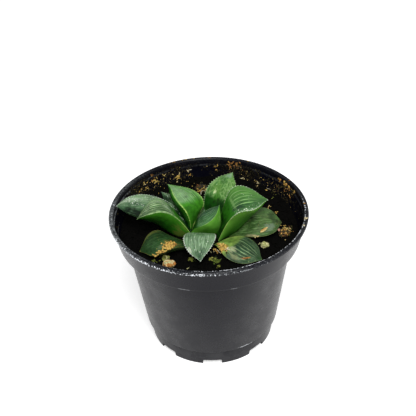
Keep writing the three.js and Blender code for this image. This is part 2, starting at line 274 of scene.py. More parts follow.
potLook = {
    "height": 67.4, "sides": 180,
    # radius and height, from the middle of the floor's upper face round to its underside
    "profile": [
        (0, 9.9), (30.2, 9.9), (36.6, 54.8), (36.9, 55.4), (40.2, 55.6), (40.5, 56.1), (42.02, 63.5),
        (42.1, 63.9), (42.4, 64.3), (42.415, 64.7), (42.5, 66.9), (42.9, 67.35), (43.5, 67.4), (44.0, 67.4),
        (44.4, 67.0), (44.5, 66.5), (44.4, 65.9), (43.7, 65.4), (43.5, 65.0), (41.3, 55.7), (40.9, 54.8),
        (40.3, 54.6), (38.0, 54.4), (37.6, 53.7), (31.4, 9.6), (30.9, 8.9), (29.9, 8.6), (29.1, 0), (28.1, 0),
        (28.9, 8.3), (28.1, 8.8), (0, 8.8),
    ],
    "notches": 8, "notchWidth": 8.7, "notchHeight": 2.4, "notchTurn": -1.3, "notchRounding": 0.8,
    "footInside": 28.1, "floorHeight": 8.8, "lipFlat": (42.9, 43.9),
    # halfway through the wall of the lip, the collar and the body: above which height, radius, lean
    "wallMiddle": [(64.5, 43.3, 0), (55, 40.95, 0.21), (-1, 29.53, 0.137)],
    "drainHole": 3.0, "middleHole": 3.6, "drainCircle": 21.5,
    # the grey for the foot is painted reflection of the floor
    # the grey for the lip is painted reflection and highlight
    "plastic": "#070710", "plasticWorn": "#0c0c14", "lipReflectionGrey": "#85898a", "footFloorReflection": "#39393b",
    # this white is stress-whitening and scuffs, and on the lip also a painted highlight
    "scuff": "#dde1e6", "soilSmear": "#070606", "soilSmearPale": "#4a4028",
    # rubbed places: middle, reach and strength
    "scuffs": [((-11.5, -39.4, 55.0), (3.4, 6, 0.4), 0.2), ((9.6, -39.9, 55.0), (1.6, 6, 0.3), 0.2),
               ((14.3, -27.8, 9.4), (3.6, 6, 0.6), 0.7), ((-30.5, -27.5, 66.2), (2.2, 6, 0.6), 0.2),
               ((15.0, -41.5, 66.4), (2.6, 6, 0.5), 0.2), ((-40.3, -1.0, 58.6), (1.0, 6, 0.7), 0.2)],
}


def notchCutter(turn):
    # a block with rounded upper corners across the foot ring
    width, top = potLook["notchWidth"], potLook["notchHeight"]
    block = bmesh.new()
    bmesh.ops.create_cube(block, size=1)
    bmesh.ops.scale(block, vec=(width, 8, top + 1), verts=block.verts)
    bmesh.ops.translate(block, vec=(0, -potLook["footInside"], (top - 1) / 2), verts=block.verts)
    upper = [edge for edge in block.edges if all(vert.co.z > top - 0.01 for vert in edge.verts)
             and abs(edge.verts[0].co.x - edge.verts[1].co.x) < 0.01]
    bmesh.ops.bevel(block, geom=upper, offset=potLook["notchRounding"], segments=3, profile=0.5,
                    affect="EDGES", material=-1)
    bmesh.ops.rotate(block, cent=(0, 0, 0), matrix=rotation(turn, "Z"), verts=block.verts)
    return block


def drainCutter(place, radius):
    hole = bmesh.new()
    bmesh.ops.create_cone(hole, cap_ends=True, segments=32, radius1=radius, radius2=radius, depth=6)
    bmesh.ops.translate(hole, vec=place, verts=hole.verts)
    return hole


def potPlastic():
    # injection-moulded black polypropylene: satin, faintly pebbled, with pale stress marks along the lip,
    # where pots rub in the stack, painted highlight and reflection along the lip's edges, a painted floor
    # reflection on the foot, and dried soil smeared up the inside
    material, shader, add = newMaterial("mouldedBlackPolypropylene")
    place = add("TexCoord", out="Object")
    toRight, toBack, level = add("SeparateXYZ", place).node.outputs
    inside = add("Attribute", out="Fac", attribute_name="inside")
    lipNickAndSheenShare = add("Attribute", out="Fac", attribute_name="lipNickAndSheenShare")

    # mottling of the satin, 6 mm across, and rubbed patches
    mottle = add("TexNoise", place, Scale=160.0, Detail=4.0)
    worn = add("MapRange", mottle, 0.5, 0.8, **softStep)
    colour = add("Mix", worn, potLook["plastic"], potLook["plasticWorn"], **mixColour)

    # painted reflection of the floor: a lighter, mottled grey on the foot
    footReflectionMask = add("MapRange", level, 0.0088, 0.0076)
    footReflectionMask = add("Math", footReflectionMask, mottle, **times)
    footReflectionMask = add("Math", footReflectionMask, 1.5, use_clamp=True, **times)
    colour = add("Mix", footReflectionMask, colour, potLook["footFloorReflection"], **mixColour)

    # painted reflection and highlight: a speckled grey over the lip's edges and along the inner step,
    # strongest on the left
    nicks = add("TexNoise", place, Scale=1700.0, Detail=3.0)
    nickGroups = add("TexNoise", place, Scale=120.0, Detail=2.0)
    lipReflectionMask = add("MapRange", toRight, -0.026, -0.043, 0.45, 3.2)
    lipReflectionMask = add("Math", lipReflectionMask, nickGroups, **times)
    grit = add("MapRange", nicks, 0.42, 0.56, 0.2)
    lipReflectionMask = add("Math", lipReflectionMask, grit, **times)
    lipReflectionMask = add("Math", lipReflectionMask, lipNickAndSheenShare, use_clamp=True, **times)
    colour = add("Mix", lipReflectionMask, colour, potLook["lipReflectionGrey"], **mixColour)

    # stress-whitened nicks along the lip's edges, 0.3 to 0.8 mm, most of them on the left; they also paint a
    # broken highlight along the inner edge at the front right
    toLeft = add("MapRange", toRight, -0.010, -0.040)
    nickAndHighlightShare = nicks
    for part, weight in ((nickGroups, 0.3), (lipNickAndSheenShare, 0.3), (toLeft, 0.07)):
        nickAndHighlightShare = add("Math", part, weight, nickAndHighlightShare, **timesPlus)
    nickAndHighlightMask = add("MapRange", nickAndHighlightShare, 1.01, 1.07)
    colour = add("Mix", nickAndHighlightMask, colour, potLook["scuff"], **mixColour)

    # rubbed places on the collar's, the lip's and the foot's edges
    for middle, reach, strength in potLook["scuffs"]:
        rubbed = patchMask(add, place, [one * mm for one in middle], [far * mm for far in reach],
                           [(nicks, -2.2)], (-0.2, -0.5), strength)
        colour = add("Mix", rubbed, colour, potLook["scuff"], **mixColour)

    # dried soil inside, from the soil up to the lip's inner step, thickest on the back half
    smear = add("TexNoise", place, Scale=420.0, Detail=6.0, Roughness=0.7)
    patches = add("TexNoise", place, Scale=60.0, Detail=2.0)
    patches = add("Math", smear, patches, **plus)
    toBack = add("Math", toBack, 7.0, **times)
    toBack = add("Math", toBack, -0.20, **larger)
    patches = add("Math", patches, toBack, **plus)
    smearMask = add("MapRange", patches, 1.16, 1.30)
    belowStep = add("MapRange", level, 0.0668, 0.0640)
    for limit in (belowStep, inside):
        smearMask = add("Math", smearMask, limit, **times)
    specks = add("TexNoise", place, Scale=1700.0, Detail=1.0)
    specks = add("MapRange", specks, 0.60, 0.70)
    driedSoil = add("Mix", specks, potLook["soilSmear"], potLook["soilSmearPale"], **mixColour)
    colour = add("Mix", smearMask, colour, driedSoil, **mixColour)

    # satin gloss, duller on the nicks, on the painted highlight and where soiled
    gloss = add("MapRange", mottle, 0.3, 0.8, 0.24, 0.34)
    dull = add("Math", smearMask, nickAndHighlightMask, **larger)
    rough = add("Mix", dull, gloss, 0.9, at=(0, 2, 3), data_type="FLOAT")

    # fine pebble of the mould, 0.25 mm, and the crust of the smears
    pebble = add("TexNoise", place, Scale=4000.0, Detail=2.0)
    crust = add("Math", smear, smearMask, **times)
    bump = add("Bump", Height=pebble, Strength=0.03, Distance=0.00005)
    bump = add("Bump", Height=crust, Normal=bump, Strength=0.8, Distance=0.0006)
    setInputs(shader, {"Base Color": colour, "Roughness": rough, "Normal": bump, "IOR": 1.49,
                       "Specular IOR Level": 0.07})
    return material


def wallMiddle(level):
    return next(radius + (level - above) * lean for above, radius, lean in potLook["wallMiddle"]
                if level > above)


def nickAndSheenOnLip(radius, azimuth, place):
    # nicks and painted light on the lip: a painted highlight along the inner edge at the front right, painted
    # reflection along the outer edge, weaker on the right, more of both in front, a painted highlight along
    # the inner step, and less of the rest at the back
    toRight = smooth((azimuth + 105) / 40) * smooth((40 - azimuth) / 40)
    inFront = smooth((azimuth + 140) / 20) * smooth((-60 - azimuth) / 20)
    level = place.z
    share = 0.42 if level > 65.3 and radius > 42.4 else 0.0
    if 42.7 < radius < 43.1 and level > 67.2:
        share = 0.60 + 0.3 * inFront + 0.7 * toRight
    if radius > 44.3:
        share = (1.0 if level < 66.8 else 0.8) + 0.12 * inFront - 0.35 * toRight
    if 63.8 < level < 64.4 and radius < 42.6:
        return 0.45
    return share * (1.0 - 0.5 * smooth((place.y + 5) / 25))


def makePot():
    pot = spinProfile(potLook["profile"], potLook["sides"])
    cutters = []
    for i in range(potLook["notches"]):
        turn = math.radians(potLook["notchTurn"] + i * 360 / potLook["notches"])
        cutters.append(notchCutter(turn))
        if i % 2 == 1:
            place = onCircle(potLook["drainCircle"], turn - math.pi / 2, potLook["floorHeight"])
            cutters.append(drainCutter(place, potLook["drainHole"]))
    cutters.append(drainCutter((0, 0, potLook["floorHeight"]), potLook["middleHole"]))
    cutAway(pot, cutters)
    insideMark = pot.verts.layers.float.new("inside")
    # a share for each corner of the lip: its nicks, painted highlights and painted reflection
    nickAndSheenLayer = pot.verts.layers.float.new("lipNickAndSheenShare")
    for vert in pot.verts:
        radius, azimuth = math.hypot(vert.co.x, vert.co.y), math.degrees(math.atan2(vert.co.y, vert.co.x))
        vert[insideMark] = 1.0 if radius < wallMiddle(vert.co.z) and vert.co.z > 9.5 else 0.0
        vert[nickAndSheenLayer] = nickAndSheenOnLip(radius, azimuth, vert.co)
    finishPiece(pot, "nurseryPot", potPlastic(), ["pot"], crease=28)


makePot()


# Leaves

leafDetail = {
    "row": 0.27, "around": 36,                  # space between rows of corners, corners in a row
    "measures": 400,                            # places where a leaf is measured to space its rows
    "teeth": (0.0, 0.3, 1.0, 0.15),             # how far the rows of one tooth stand out
    "toothLength": 0.7, "teethFrom": 0.3,       # and the share of the leaf's length where teeth begin
    "ripple": 0.14, "pucker": 0.05, "veinRise": 0.05,   # relief of the skin
    "gap": 0.35, "stemGap": 0.3,                # left free round the leaves inside it and the stem
    "cutterRows": 24, "cutterAround": 16,       # of the plainer leaves that make those gaps
}
crown, rim = (-1, -2), potLook["height"]

# what most leaves share
plainLeaf = {
    "tooth": 0,                         # size of the teeth along the margin
    "keelShift": 0,                     # how far the keel lies to one side
    "rollRoot": 0, "rollTip": 0,        # how far the face is rolled over, in degrees
    "offset": 0, "sway": 0,             # how far the root and the tip lie to one side
    "widest": 0.5, "taper": 2,          # where it is widest and how late it narrows from there
    "bulge": 0.8, "rootShare": 0.5,     # rise of the upper face, width at the root
}

# From the heart of the rosette outwards. Every reach is measured from the crown and every height from the
# pot's rim. "face" runs down the middle of the upper face and "keel" under it; both end at the tip.
leaves = {
    "leaf_inner": {"azimuth": 98, "width": 6, "look": "inner",
        "face": [(-1, -11.5), (1.5, -8), (4, -5.5), (6.5, -3)],
        "keel": [(1.5, -12.8), (5, -10), (7, -5.5)], "widest": 0.45, "taper": 1.8, "bulge": 0.3},
    "leaf_centre": {"azimuth": -1.9, "width": 10.4, "tooth": 0.2, "look": "centre",
        "face": [(-6.9, -10.7), (-6.1, -3.2), (3.6, -2.8), (5.9, 3.8)],
        "keel": [(0.2, -13.7), (8.2, -12.3), (6.7, -4.1)], "rollRoot": -13.1, "rollTip": 11.3,
        "sway": -0.1, "offset": -1, "taper": 1.69, "bulge": 0.5, "rootShare": 0.44},
    "leaf_back_right": {"azimuth": 60.3, "width": 14.5, "tooth": 1, "look": "backRight",
        "face": [(2.2, -11.4), (9.5, -6.4), (13.4, 6.2), (24.5, 6.8)],
        "keel": [(5, -13.2), (14, -10), (19, -1)], "rollRoot": -3.7, "rollTip": 5.5, "sway": -0.8,
        "offset": 0.5, "widest": 0.56, "taper": 1.71, "rootShare": 0.49},
    "leaf_right": {"azimuth": 6.9, "width": 19, "tooth": 1, "look": "right",
        "face": [(4, -11.5), (10.8, 4.7), (11.1, 9.7), (28.2, 2.2)],
        "keel": [(6.6, -14.3), (16.5, -13.7), (19.3, -0.5)], "keelShift": 0.09, "rollRoot": -2.1,
        "rollTip": 3.4, "sway": 0.9, "offset": -2.6, "widest": 0.68, "taper": 1.93, "bulge": 0.9,
        "rootShare": 0.51},
    "leaf_back_left": {"azimuth": 137.4, "width": 13.2, "tooth": 0.6, "look": "backLeft",
        "face": [(5.3, -11), (6, -4), (0.7, 5.9), (26.9, 1.7)],
        "keel": [(5.9, -12.9), (13.1, -9.2), (19.5, -2.3)], "keelShift": -0.05, "rollRoot": 25.2,
        "rollTip": -1.6, "sway": -3.3, "offset": 3.6, "widest": 0.6, "taper": 2.17, "bulge": 1,
        "rootShare": 0.45},
    "leaf_left": {"azimuth": 187, "width": 13.6, "tooth": 0.4, "look": "left",
        "face": [(6.7, -11.7), (13.5, 1.9), (19.6, 14.7), (31, -1.3)],
        "keel": [(7.2, -13.7), (18.3, -14.1), (22.4, 1.4)], "keelShift": -0.15, "rollRoot": 12.1,
        "rollTip": 6.5, "sway": -1.3, "offset": 0.5, "widest": 0.7, "taper": 1.7, "bulge": 1,
        "rootShare": 0.45},
    "leaf_front": {"azimuth": -101, "width": 13.8, "tooth": 0.6, "look": "front",
        "face": [(3.4, -11.6), (7.6, -1.1), (20.9, -3.2), (25.4, -7.8)],
        "keel": [(5, -13.5), (13, -10), (20, -7)], "rollRoot": 0.4, "rollTip": 9.9, "sway": 1.8,
        "offset": -2.1, "widest": 0.47, "taper": 1.9},
    "leaf_far_left": {"azimuth": 172.4, "width": 14.5, "tooth": 0.4, "look": "farLeft",
        "face": [(4, -11.9), (10.4, -0.2), (31.5, 5.3), (40.9, 0.9)],
        "keel": [(7, -13.7), (16, -9), (28, -4)], "rollRoot": 4, "rollTip": -14.3, "sway": 0.1,
        "widest": 0.6, "taper": 1.97, "bulge": 1.2},
    "leaf_back_left_small": {"azimuth": 135, "width": 10, "tooth": 0.4, "look": "backLeftSmall",
        "face": [(6, -12.2), (12, -8), (20, -4), (29.5, -2.5)], "keel": [(8, -13.5), (14, -12), (22, -8)],
        "taper": 1.8},
    "leaf_back": {"azimuth": 101, "width": 12, "look": "oldRight",
        "face": [(5, -12), (9, -8), (13, -7), (18.5, -8)], "keel": [(7, -13.4), (11, -12.4), (15, -10.5)],
        "bulge": 0.7},
    "leaf_old_right": {"azimuth": 1.4, "width": 18.1, "look": "oldRight",
        "face": [(8, -11.9), (13.9, -7.1), (28.2, -5.6), (34, -8.8)],
        "keel": [(10, -13.7), (18, -12.6), (26, -11)], "rollRoot": 9.7, "rollTip": 11.5, "sway": 1,
        "offset": 0.1, "widest": 0.55, "taper": 2.39, "bulge": 1, "rootShare": 0.45},
    "leaf_old_back_right": {"azimuth": 35, "width": 13, "look": "oldRight",
        "face": [(7, -12), (12, -8.5), (19, -7), (26, -8.5)],
        "keel": [(9, -13.4), (14, -12.4), (20, -11)]},
    "leaf_old_front_right": {"azimuth": -45.2, "width": 15.9, "look": "oldFrontRight",
        "face": [(7.8, -12.3), (14, -5.3), (22.4, -12.3), (32.1, -10.4)],
        "keel": [(8.3, -14.1), (17, -12.8), (26, -12.6)], "rollRoot": -8.8, "rollTip": 12.2, "sway": 1,
        "offset": -2.3, "widest": 0.53, "taper": 2.25, "bulge": 1.1, "rootShare": 0.4},
    "leaf_old_front_left": {"azimuth": 207.7, "width": 17.2, "look": "oldFrontLeft",
        "face": [(8.8, -12.2), (20.8, -5.3), (23.1, -4.1), (32.5, -11)],
        "keel": [(9.3, -14), (17, -12.6), (25, -12)], "rollRoot": 11, "rollTip": 1.8, "sway": -2.5,
        "offset": 4.6, "widest": 0.59, "taper": 2.56, "bulge": 1.1, "rootShare": 0.46},
}
leaves = {name: {**plainLeaf, **leaf} for name, leaf in leaves.items()}

# what most skins share
plainLook = {
    "windowFrom": 0.2,              # share of the length at which the window begins
    "veins": 8, "veinShare": 1.0,   # streaks from side to side and how strong they are
    "veinsTo": 1.1,                 # share of the length at which they have faded out
    "edgeShare": 1.0,               # how strong the margin's colour is
    "edgeWide": 1.0,                # how wide the margin is
    "net": 0.2,                     # how strong the cross veins are
    "netRun": (4.5, 11.7, 1),       # meshes of their net along the leaf and from the middle to a side
    "stripes": 0.38,                # how strong the fibres are
    "cloud": 0.2,                   # how mottled the skin is
    "flecks": 0.3,                  # how many pale flecks there are
    "fleckRest": 0,                 # how many of them stay between their patches
    "paleTo": 1.4,                  # how far across the leaf flecks and margin reach
    "frost": 0,                     # white beads beside the margin
    "wax": 0.34,                    # shine of the upper face
    "marks": (), "underMarks": (),
}

# Colours of each leaf's skin: "base" at its root, "window" the see-through part of the upper face, from its
# right margin to its left one, the change between these two being painted shade across the face, "vein" the
# streaks in it, "under" the underside, "deep" the underside near the root, "glow" the underside along the
# margin, where light comes through, "edge" the margin and "edgeRoot" the margin near the root. A mark is its
# place along and across the leaf, its reach along and across, its colour and its strength; some marks are
# painted shade.
leafLooks = {
    # this leaf's colours are darker all over than the others': painted shade deep in the rosette
    "inner": {
        "base": "#16380e", "window": ("#23481f", "#2b5224"), "vein": "#4f7a40", "under": "#1f4d14",
        "deep": "#0b2606", "glow": "#2f6a1e", "edge": "#7da06a", "edgeRoot": "#5d8a3a", "windowFrom": 0.3,
        "veins": 4, "veinShare": 0.4, "veinsTo": 1, "edgeShare": 0.5, "net": 0.1, "flecks": 0.2,
    },
    "centre": {
        "base": "#1b4a12", "window": ("#3b6a36", "#24492c"), "vein": "#86a886", "under": "#569632",
        "deep": "#37781a", "glow": "#6cab3e", "edge": "#a8c48c", "edgeRoot": "#2f5a20", "windowFrom": 0.3,
        "veins": 6, "veinShare": 0.6, "veinsTo": 1, "edgeShare": 0.7, "net": 0.25, "flecks": 0.6,
        "wax": 0.12,
        "underMarks": [(0.74, -0.45, 0.14, 0.3, "#86bb5a", 0.55)],
    },
    "backRight": {
        "base": "#0f4206", "window": ("#4d7a34", "#437036"), "vein": "#86aa66", "under": "#2f7418",
        "deep": "#0c3a06", "glow": "#4d8f2a", "edge": "#a9c395", "edgeRoot": "#4f8636", "windowFrom": 0.5,
        "veinShare": 0.15, "veinsTo": 1.05, "edgeShare": 0.6, "net": 0.6, "netRun": (11, 5, 1),
        "stripes": 0.16, "flecks": 0.7, "wax": 0.2,
        "marks": [(0.575, 0.39, 0.05, 0.15, "#d2dfa8", 1), (0.52, 0.15, 0.1, 0.4, "#357018", 0.7),
                  # the near-black mark across the root, at 0.22 of the length, is painted shade between the
                  # leaves
                  (0.66, 0.4, 0.12, 0.4, "#5f9038", 0.5), (0.22, 0, 0.26, 1.5, "#082c04", 0.95),
                  (0.8, 0.1, 0.1, 0.35, "#2c5c26", 0.6), (0.92, 0, 0.09, 0.7, "#87a48a", 0.6)],
    },
    "right": {
        "base": "#2a6e12", "window": ("#366230", "#4d8432"), "vein": "#86b06c", "under": "#438624",
        "deep": "#1f520c", "glow": "#74b244", "edge": "#d8e6c8", "edgeRoot": "#ccd884",
        "windowFrom": 0.48, "veinsTo": 0.88, "edgeShare": 0.85, "edgeWide": 0.8, "net": 0.1,
        "cloud": 0.15, "flecks": 0.25, "frost": 1, "wax": 0.22,
        "marks": [(0.54, -0.66, 0.12, 0.3, "#1f3a26", 0.85), (0.7, -0.62, 0.14, 0.16, "#2c5230", 0.4),
                  (0.66, -0.97, 0.2, 0.13, "#8fb48a", 0.3), (0.5, 0, 0.022, 0.8, "#86b268", 0.5),
                  # the near-black mark across the root, below, is painted shade between the leaves
                  (0.16, 0, 0.23, 1.5, "#0a2c08", 0.95)],
        "underMarks": [(0.35, 0.3, 0.2, 0.5, "#8a9c48", 0.5)],
    },
    "backLeft": {
        "base": "#3b7f1b", "window": ("#3f7f22", "#6a9260"), "vein": "#a6c298", "under": "#0e4709",
        "deep": "#052a08", "glow": "#3d8a1d", "edge": "#a4cf70", "edgeRoot": "#b6da72",
        "windowFrom": 0.45, "veins": 12, "veinShare": 0.6, "edgeWide": 1.6, "cloud": 0.3, "flecks": 1.6,
        "wax": 0.24,
        "marks": [(0.62, 0.15, 0.22, 0.45, "#7c9f72", 0.6), (0.28, 0.1, 0.18, 1.3, "#245f10", 0.6)],
    },
    "left": {
        "base": "#357a1c", "window": ("#457538", "#2e5428"), "vein": "#c2d8a8", "under": "#1d5c0f",
        "deep": "#2f6d16", "glow": "#469022", "edge": "#b4d698", "edgeRoot": "#badc7c",
        "windowFrom": 0.46, "veins": 9, "veinsTo": 1.2, "edgeWide": 1.6, "stripes": 0.65, "cloud": 0.3,
        "flecks": 0.6, "wax": 0.24,
        "marks": [(0.54, 0.3, 0.06, 0.25, "#9ab48e", 0.6), (0.49, 0, 0.05, 0.9, "#2c5a26", 0.6)],
        "underMarks": [(0.26, 0.55, 0.16, 0.55, "#7f8a3c", 0.5), (0.62, 0.35, 0.2, 0.5, "#123a09", 0.7)],
    },
    "front": {
        "base": "#3d6633", "window": ("#577754", "#5c7d57"), "vein": "#9db896", "under": "#46782f",
        "deep": "#2c6418", "glow": "#6d9c55", "edge": "#e0ead6", "edgeRoot": "#8fae7c",
        "windowFrom": 0.15, "veins": 7, "veinShare": 0.7, "net": 0.45, "flecks": 0.8,
        "marks": [(0.46, 0, 0.07, 1.2, "#4c7048", 0.6), (0.78, -0.85, 0.08, 0.16, "#dfe6cf", 0.6),
                  (0.91, 0, 0.12, 1, "#24482a", 0.95)],
    },
    # painted shade on the side of this leaf that faces the front: its window darkens toward that margin, two
    # near-black marks lie there, and its flecks and pale margin stop short of it; the near-black mark at its
    # root is painted shade too
    "farLeft": {
        "base": "#2b4f28", "window": ("#6c8b63", "#284c2c"), "vein": "#9db398", "under": "#284c28",
        "deep": "#16331a", "glow": "#4b7048", "edge": "#e2eadc", "edgeRoot": "#6f9168", "veinShare": 0.15,
        "edgeShare": 0.45, "cloud": 0.3, "flecks": 3.4, "fleckRest": 0.5, "paleTo": 0.35, "wax": 0.22,
        "marks": [(0.82, -0.45, 0.16, 0.3, "#a9bca3", 0.65), (0.76, 0.1, 0.2, 0.24, "#2c4a34", 0.55),
                  (0.16, 0, 0.45, 3, "#0d2a10", 1), (0.62, 0.95, 0.26, 0.62, "#081709", 1),
                  (0.74, 0.78, 0.24, 0.42, "#0a1b0c", 0.85)],
    },
    "oldRight": {
        "base": "#2f4a1c", "window": ("#2f4e1d", "#385a26"), "vein": "#7d9a66", "under": "#33491f",
        "deep": "#22340f", "glow": "#4d6436", "edge": "#7b7a48", "edgeRoot": "#8a8448", "veins": 12,
        "veinShare": 0.5, "edgeShare": 0.5, "net": 0.35, "cloud": 0.45, "flecks": 0.8,
        "marks": [(0.46, -0.92, 0.12, 0.1, "#aba47c", 0.6), (0.76, -0.5, 0.1, 0.28, "#90a58c", 0.55),
                  (0.97, -0.1, 0.08, 0.9, "#3b4023", 0.7), (0.7, 0.1, 0.12, 0.4, "#56703d", 0.5),
                  (0.55, -0.55, 0.08, 0.22, "#6f865a", 0.5), (0.86, 0.25, 0.12, 0.5, "#2a4020", 0.7),
                  (0.48, -0.2, 0.12, 0.4, "#274419", 0.7)],
    },
    "oldFrontRight": {
        "base": "#7d9b4a", "window": ("#263f2a", "#1e3a22"), "vein": "#7f9a6c", "under": "#455a28",
        "deep": "#333f17", "glow": "#5c7437", "edge": "#7f9456", "edgeRoot": "#a39a4c",
        "windowFrom": 0.42, "veins": 9, "veinsTo": 1, "edgeShare": 0.6, "cloud": 0.45,
        "marks": [(0.24, 0.25, 0.16, 0.5, "#587a30", 0.7), (0.29, -0.62, 0.12, 0.42, "#a5853c", 0.9),
                  (0.56, -0.1, 0.12, 0.12, "#22402c", 0.8), (0.46, -0.38, 0.08, 0.24, "#a9b088", 0.75),
                  (0.58, -0.74, 0.13, 0.16, "#8c9468", 0.7), (0.72, -0.62, 0.05, 0.08, "#a9784c", 0.7),
                  (0.84, -0.8, 0.16, 0.34, "#1f431c", 0.8), (0.97, 0.1, 0.09, 1, "#1f431c", 0.8),
                  # the dark band along the lower margin, below, is painted shade
                  (0.74, -1.02, 0.3, 0.17, "#18350f", 0.9)],
    },
    "oldFrontLeft": {
        "base": "#2f4a19", "window": ("#1f3c19", "#23441f"), "vein": "#4a6c42", "under": "#2c4420",
        "deep": "#1a2c0c", "glow": "#44603a", "edge": "#a39a4e", "edgeRoot": "#8f8740", "veinShare": 0.4,
        "edgeShare": 0.9, "net": 0.3, "cloud": 0.45,
        "marks": [(0.47, 0.45, 0.16, 0.42, "#74743a", 0.85), (0.6, 0.6, 0.1, 0.2, "#5f7050", 0.7),
                  (0.8, -0.85, 0.25, 0.14, "#6f7a3a", 0.7)],
    },
}
# the small one behind is like it, with painted shade that darkens it nearly all over, down to its root
leafLooks["backLeftSmall"] = {**leafLooks["farLeft"], "edgeShare": 0.1,
                              "marks": [(0.2, 0, 0.85, 3, "#0a240c", 1)]}
leafLooks = {name: {**plainLook, **look} for name, look in leafLooks.items()}


def blend(shares, points):
    return [sum(share * point[axis] for share, point in zip(shares, points)) for axis in (0, 1)]


def curvePoint(points, t):
    u = 1 - t
    return blend((u * u * u, 3 * u * u * t, 3 * u * t * t, t * t * t), points)


def curveSlope(points, t):
    u = 1 - t
    steps = [(after[0] - before[0], after[1] - before[1]) for before, after in zip(points, points[1:])]
    return blend((3 * u * u, 6 * u * t, 3 * t * t), steps)


def leafFrame(leaf, t):
    # places on the face and the keel at the share t of the leaf's length, and the directions along the
    # leaf, across it and out of its face
    azimuth = math.radians(leaf["azimuth"])
    out, across = onCircle(1, azimuth, 0), onCircle(1, azimuth + math.pi / 2, 0)
    upward = Vector((0, 0, 1))
    origin = Vector((crown[0], crown[1], rim))
    drift = leaf["offset"] * (1 - t) + leaf["sway"] * t * t
    face, keel = [origin + out * reach + upward * level + across * drift for reach, level in (
        curvePoint(leaf["face"], t), curvePoint(leaf["keel"] + leaf["face"][3:], t))]
    slope = curveSlope(leaf["face"], t)
    along = out * slope[0] + upward * slope[1] + across * (2 * leaf["sway"] * t - leaf["offset"])
    along.normalize()
    side = (across - along * across.dot(along)).normalized()
    normal = along.cross(side)
    turn = math.radians(leaf["rollRoot"] * (1 - t) + leaf["rollTip"] * t)
    return (face, keel, along, side * math.cos(turn) + normal * math.sin(turn),
            normal * math.cos(turn) - side * math.sin(turn))


def leafWidths(leaf, t):
    # half the width and the rise of the upper face
    half, widest = leaf["width"] / 2, leaf["widest"]
    if t < widest:
        rise = smooth((t - 0.25) / (widest - 0.25))
        share = leaf["rootShare"] + (1 - leaf["rootShare"]) * smooth(t / widest)
        return half * share, max(leaf["bulge"] * rise, 0.02)
    tip = (t - widest) / (1 - widest)
    pinch = 1 - 0.35 * smooth((tip - 0.6) / 0.4)
    return half * pinch * (1 - tip ** leaf["taper"]), leaf["bulge"] * (1 - tip * tip)


def domeRise(dome, share):
    # how high the upper face stands at a share of its half width
    return dome * max(0.0, 1 - abs(share) ** 2.2)


def evenSteps(leaf, rows):
    # shares t of the leaf's length at which its rows lie the same distance apart
    count = leafDetail["measures"]
    middle = [leafFrame(leaf, i / count)[0] for i in range(count + 1)]
    lengths = [0.0]
    for before, after in zip(middle, middle[1:]):
        lengths.append(lengths[-1] + (after - before).length)
    rows = rows or round(lengths[-1] / leafDetail["row"])
    steps, at = [], 0
    for row in range(rows + 1):
        wanted = lengths[-1] * row / rows
        while at < count - 1 and lengths[at + 1] < wanted:
            at += 1
        steps.append((at + (wanted - lengths[at]) / (lengths[at + 1] - lengths[at])) / count)
    return steps


def toothRise(leaf, row, t):
    teeth = leafDetail["teeth"]
    return leafDetail["toothLength"] * leaf["tooth"] * teeth[row % len(teeth)] * (1 - t ** 8)


def reliefOf(leaf, point, share, height, t):
    # low ripples of the skin and, on the upper face, the veins, which stand up a little
    look = leafLooks[leaf["look"]]
    ripple = leafDetail["ripple"] * noise.noise(point * 0.28)
    ripple += leafDetail["pucker"] * noise.noise(point * 0.9)
    if height < 0:
        return ripple * (1 - abs(share) ** 4)
    vein = math.cos(share * look["veins"] * math.pi) * leafDetail["veinRise"]
    vein *= look["veinShare"] * smooth(t * 2)
    return (ripple + vein) * (1 - abs(share) ** 4) * (1 - t ** 6)


def leafPoint(leaf, swell, row, t, ring, turn):
    # where a corner of the rod goes: half of each ring is the upper face and half the underside
    (face, keel, along, side, normal), (half, dome) = ring
    share, height = math.cos(turn), math.sin(turn)
    onMargin = abs(height) < 1e-4 and t > leafDetail["teethFrom"]
    tooth = toothRise(leaf, row, t) + swell * 0.5 if onMargin else 0.0
    point = face + side * (share * (half + swell) + math.copysign(tooth, share))
    if height >= -1e-4:
        point += normal * (domeRise(dome, share) + swell)
    else:
        depth = keel - face + side * (leaf["keelShift"] * half)
        depth *= (depth.length + swell) / depth.length
        point += depth * (1 - abs(share) ** 1.8) ** 0.75
    if swell == 0:
        point += normal * reliefOf(leaf, point, share, height, t)
    return point - along * (2 * swell) if row == 0 else point


def leafBlank(leaf, swell=0.0, rows=0, around=leafDetail["around"]):
    # a straight rod whose rings are carried onto the leaf's cross sections; "swell" makes the leaf that
    # much larger all round
    steps = evenSteps(leaf, rows)
    rows = len(steps) - 1
    bm = bmesh.new()
    bmesh.ops.create_cone(bm, cap_ends=True, segments=around, radius1=1, radius2=1, depth=1)
    upright = [edge for edge in bm.edges if abs(edge.verts[0].co.z - edge.verts[1].co.z) > 0.5]
    bmesh.ops.subdivide_edges(bm, edges=upright, cuts=rows - 1, use_grid_fill=True)
    rests = {vert: (math.atan2(vert.co.y, vert.co.x), round((vert.co.z + 0.5) * rows)) for vert in bm.verts}
    faceUv = bm.loops.layers.uv.new("leafFace")
    sideUv = bm.loops.layers.uv.new("leafSide")
    for face in bm.faces:
        middle = sum(math.sin(rests[vert][0]) for vert in face.verts)
        for loop in face.loops:
            turn, row = rests[loop.vert]
            loop[faceUv].uv = (0.5 + 0.5 * math.cos(turn), row / rows)
            loop[sideUv].uv = (0.0 if middle > 0 else 1.0, 0.5 + 0.5 * math.sin(turn))
    rings = [(leafFrame(leaf, t), leafWidths(leaf, t)) for t in steps]
    tip = rings[-1][0][0] + rings[-1][0][2] * (3 * swell)
    for vert, (turn, row) in rests.items():
        vert.co = leafPoint(leaf, swell, row, steps[row], rings[row], turn) if row < rows else tip
    bmesh.ops.remove_doubles(bm, verts=bm.verts, dist=1e-3)
    bmesh.ops.recalc_face_normals(bm, faces=bm.faces)
    return bm


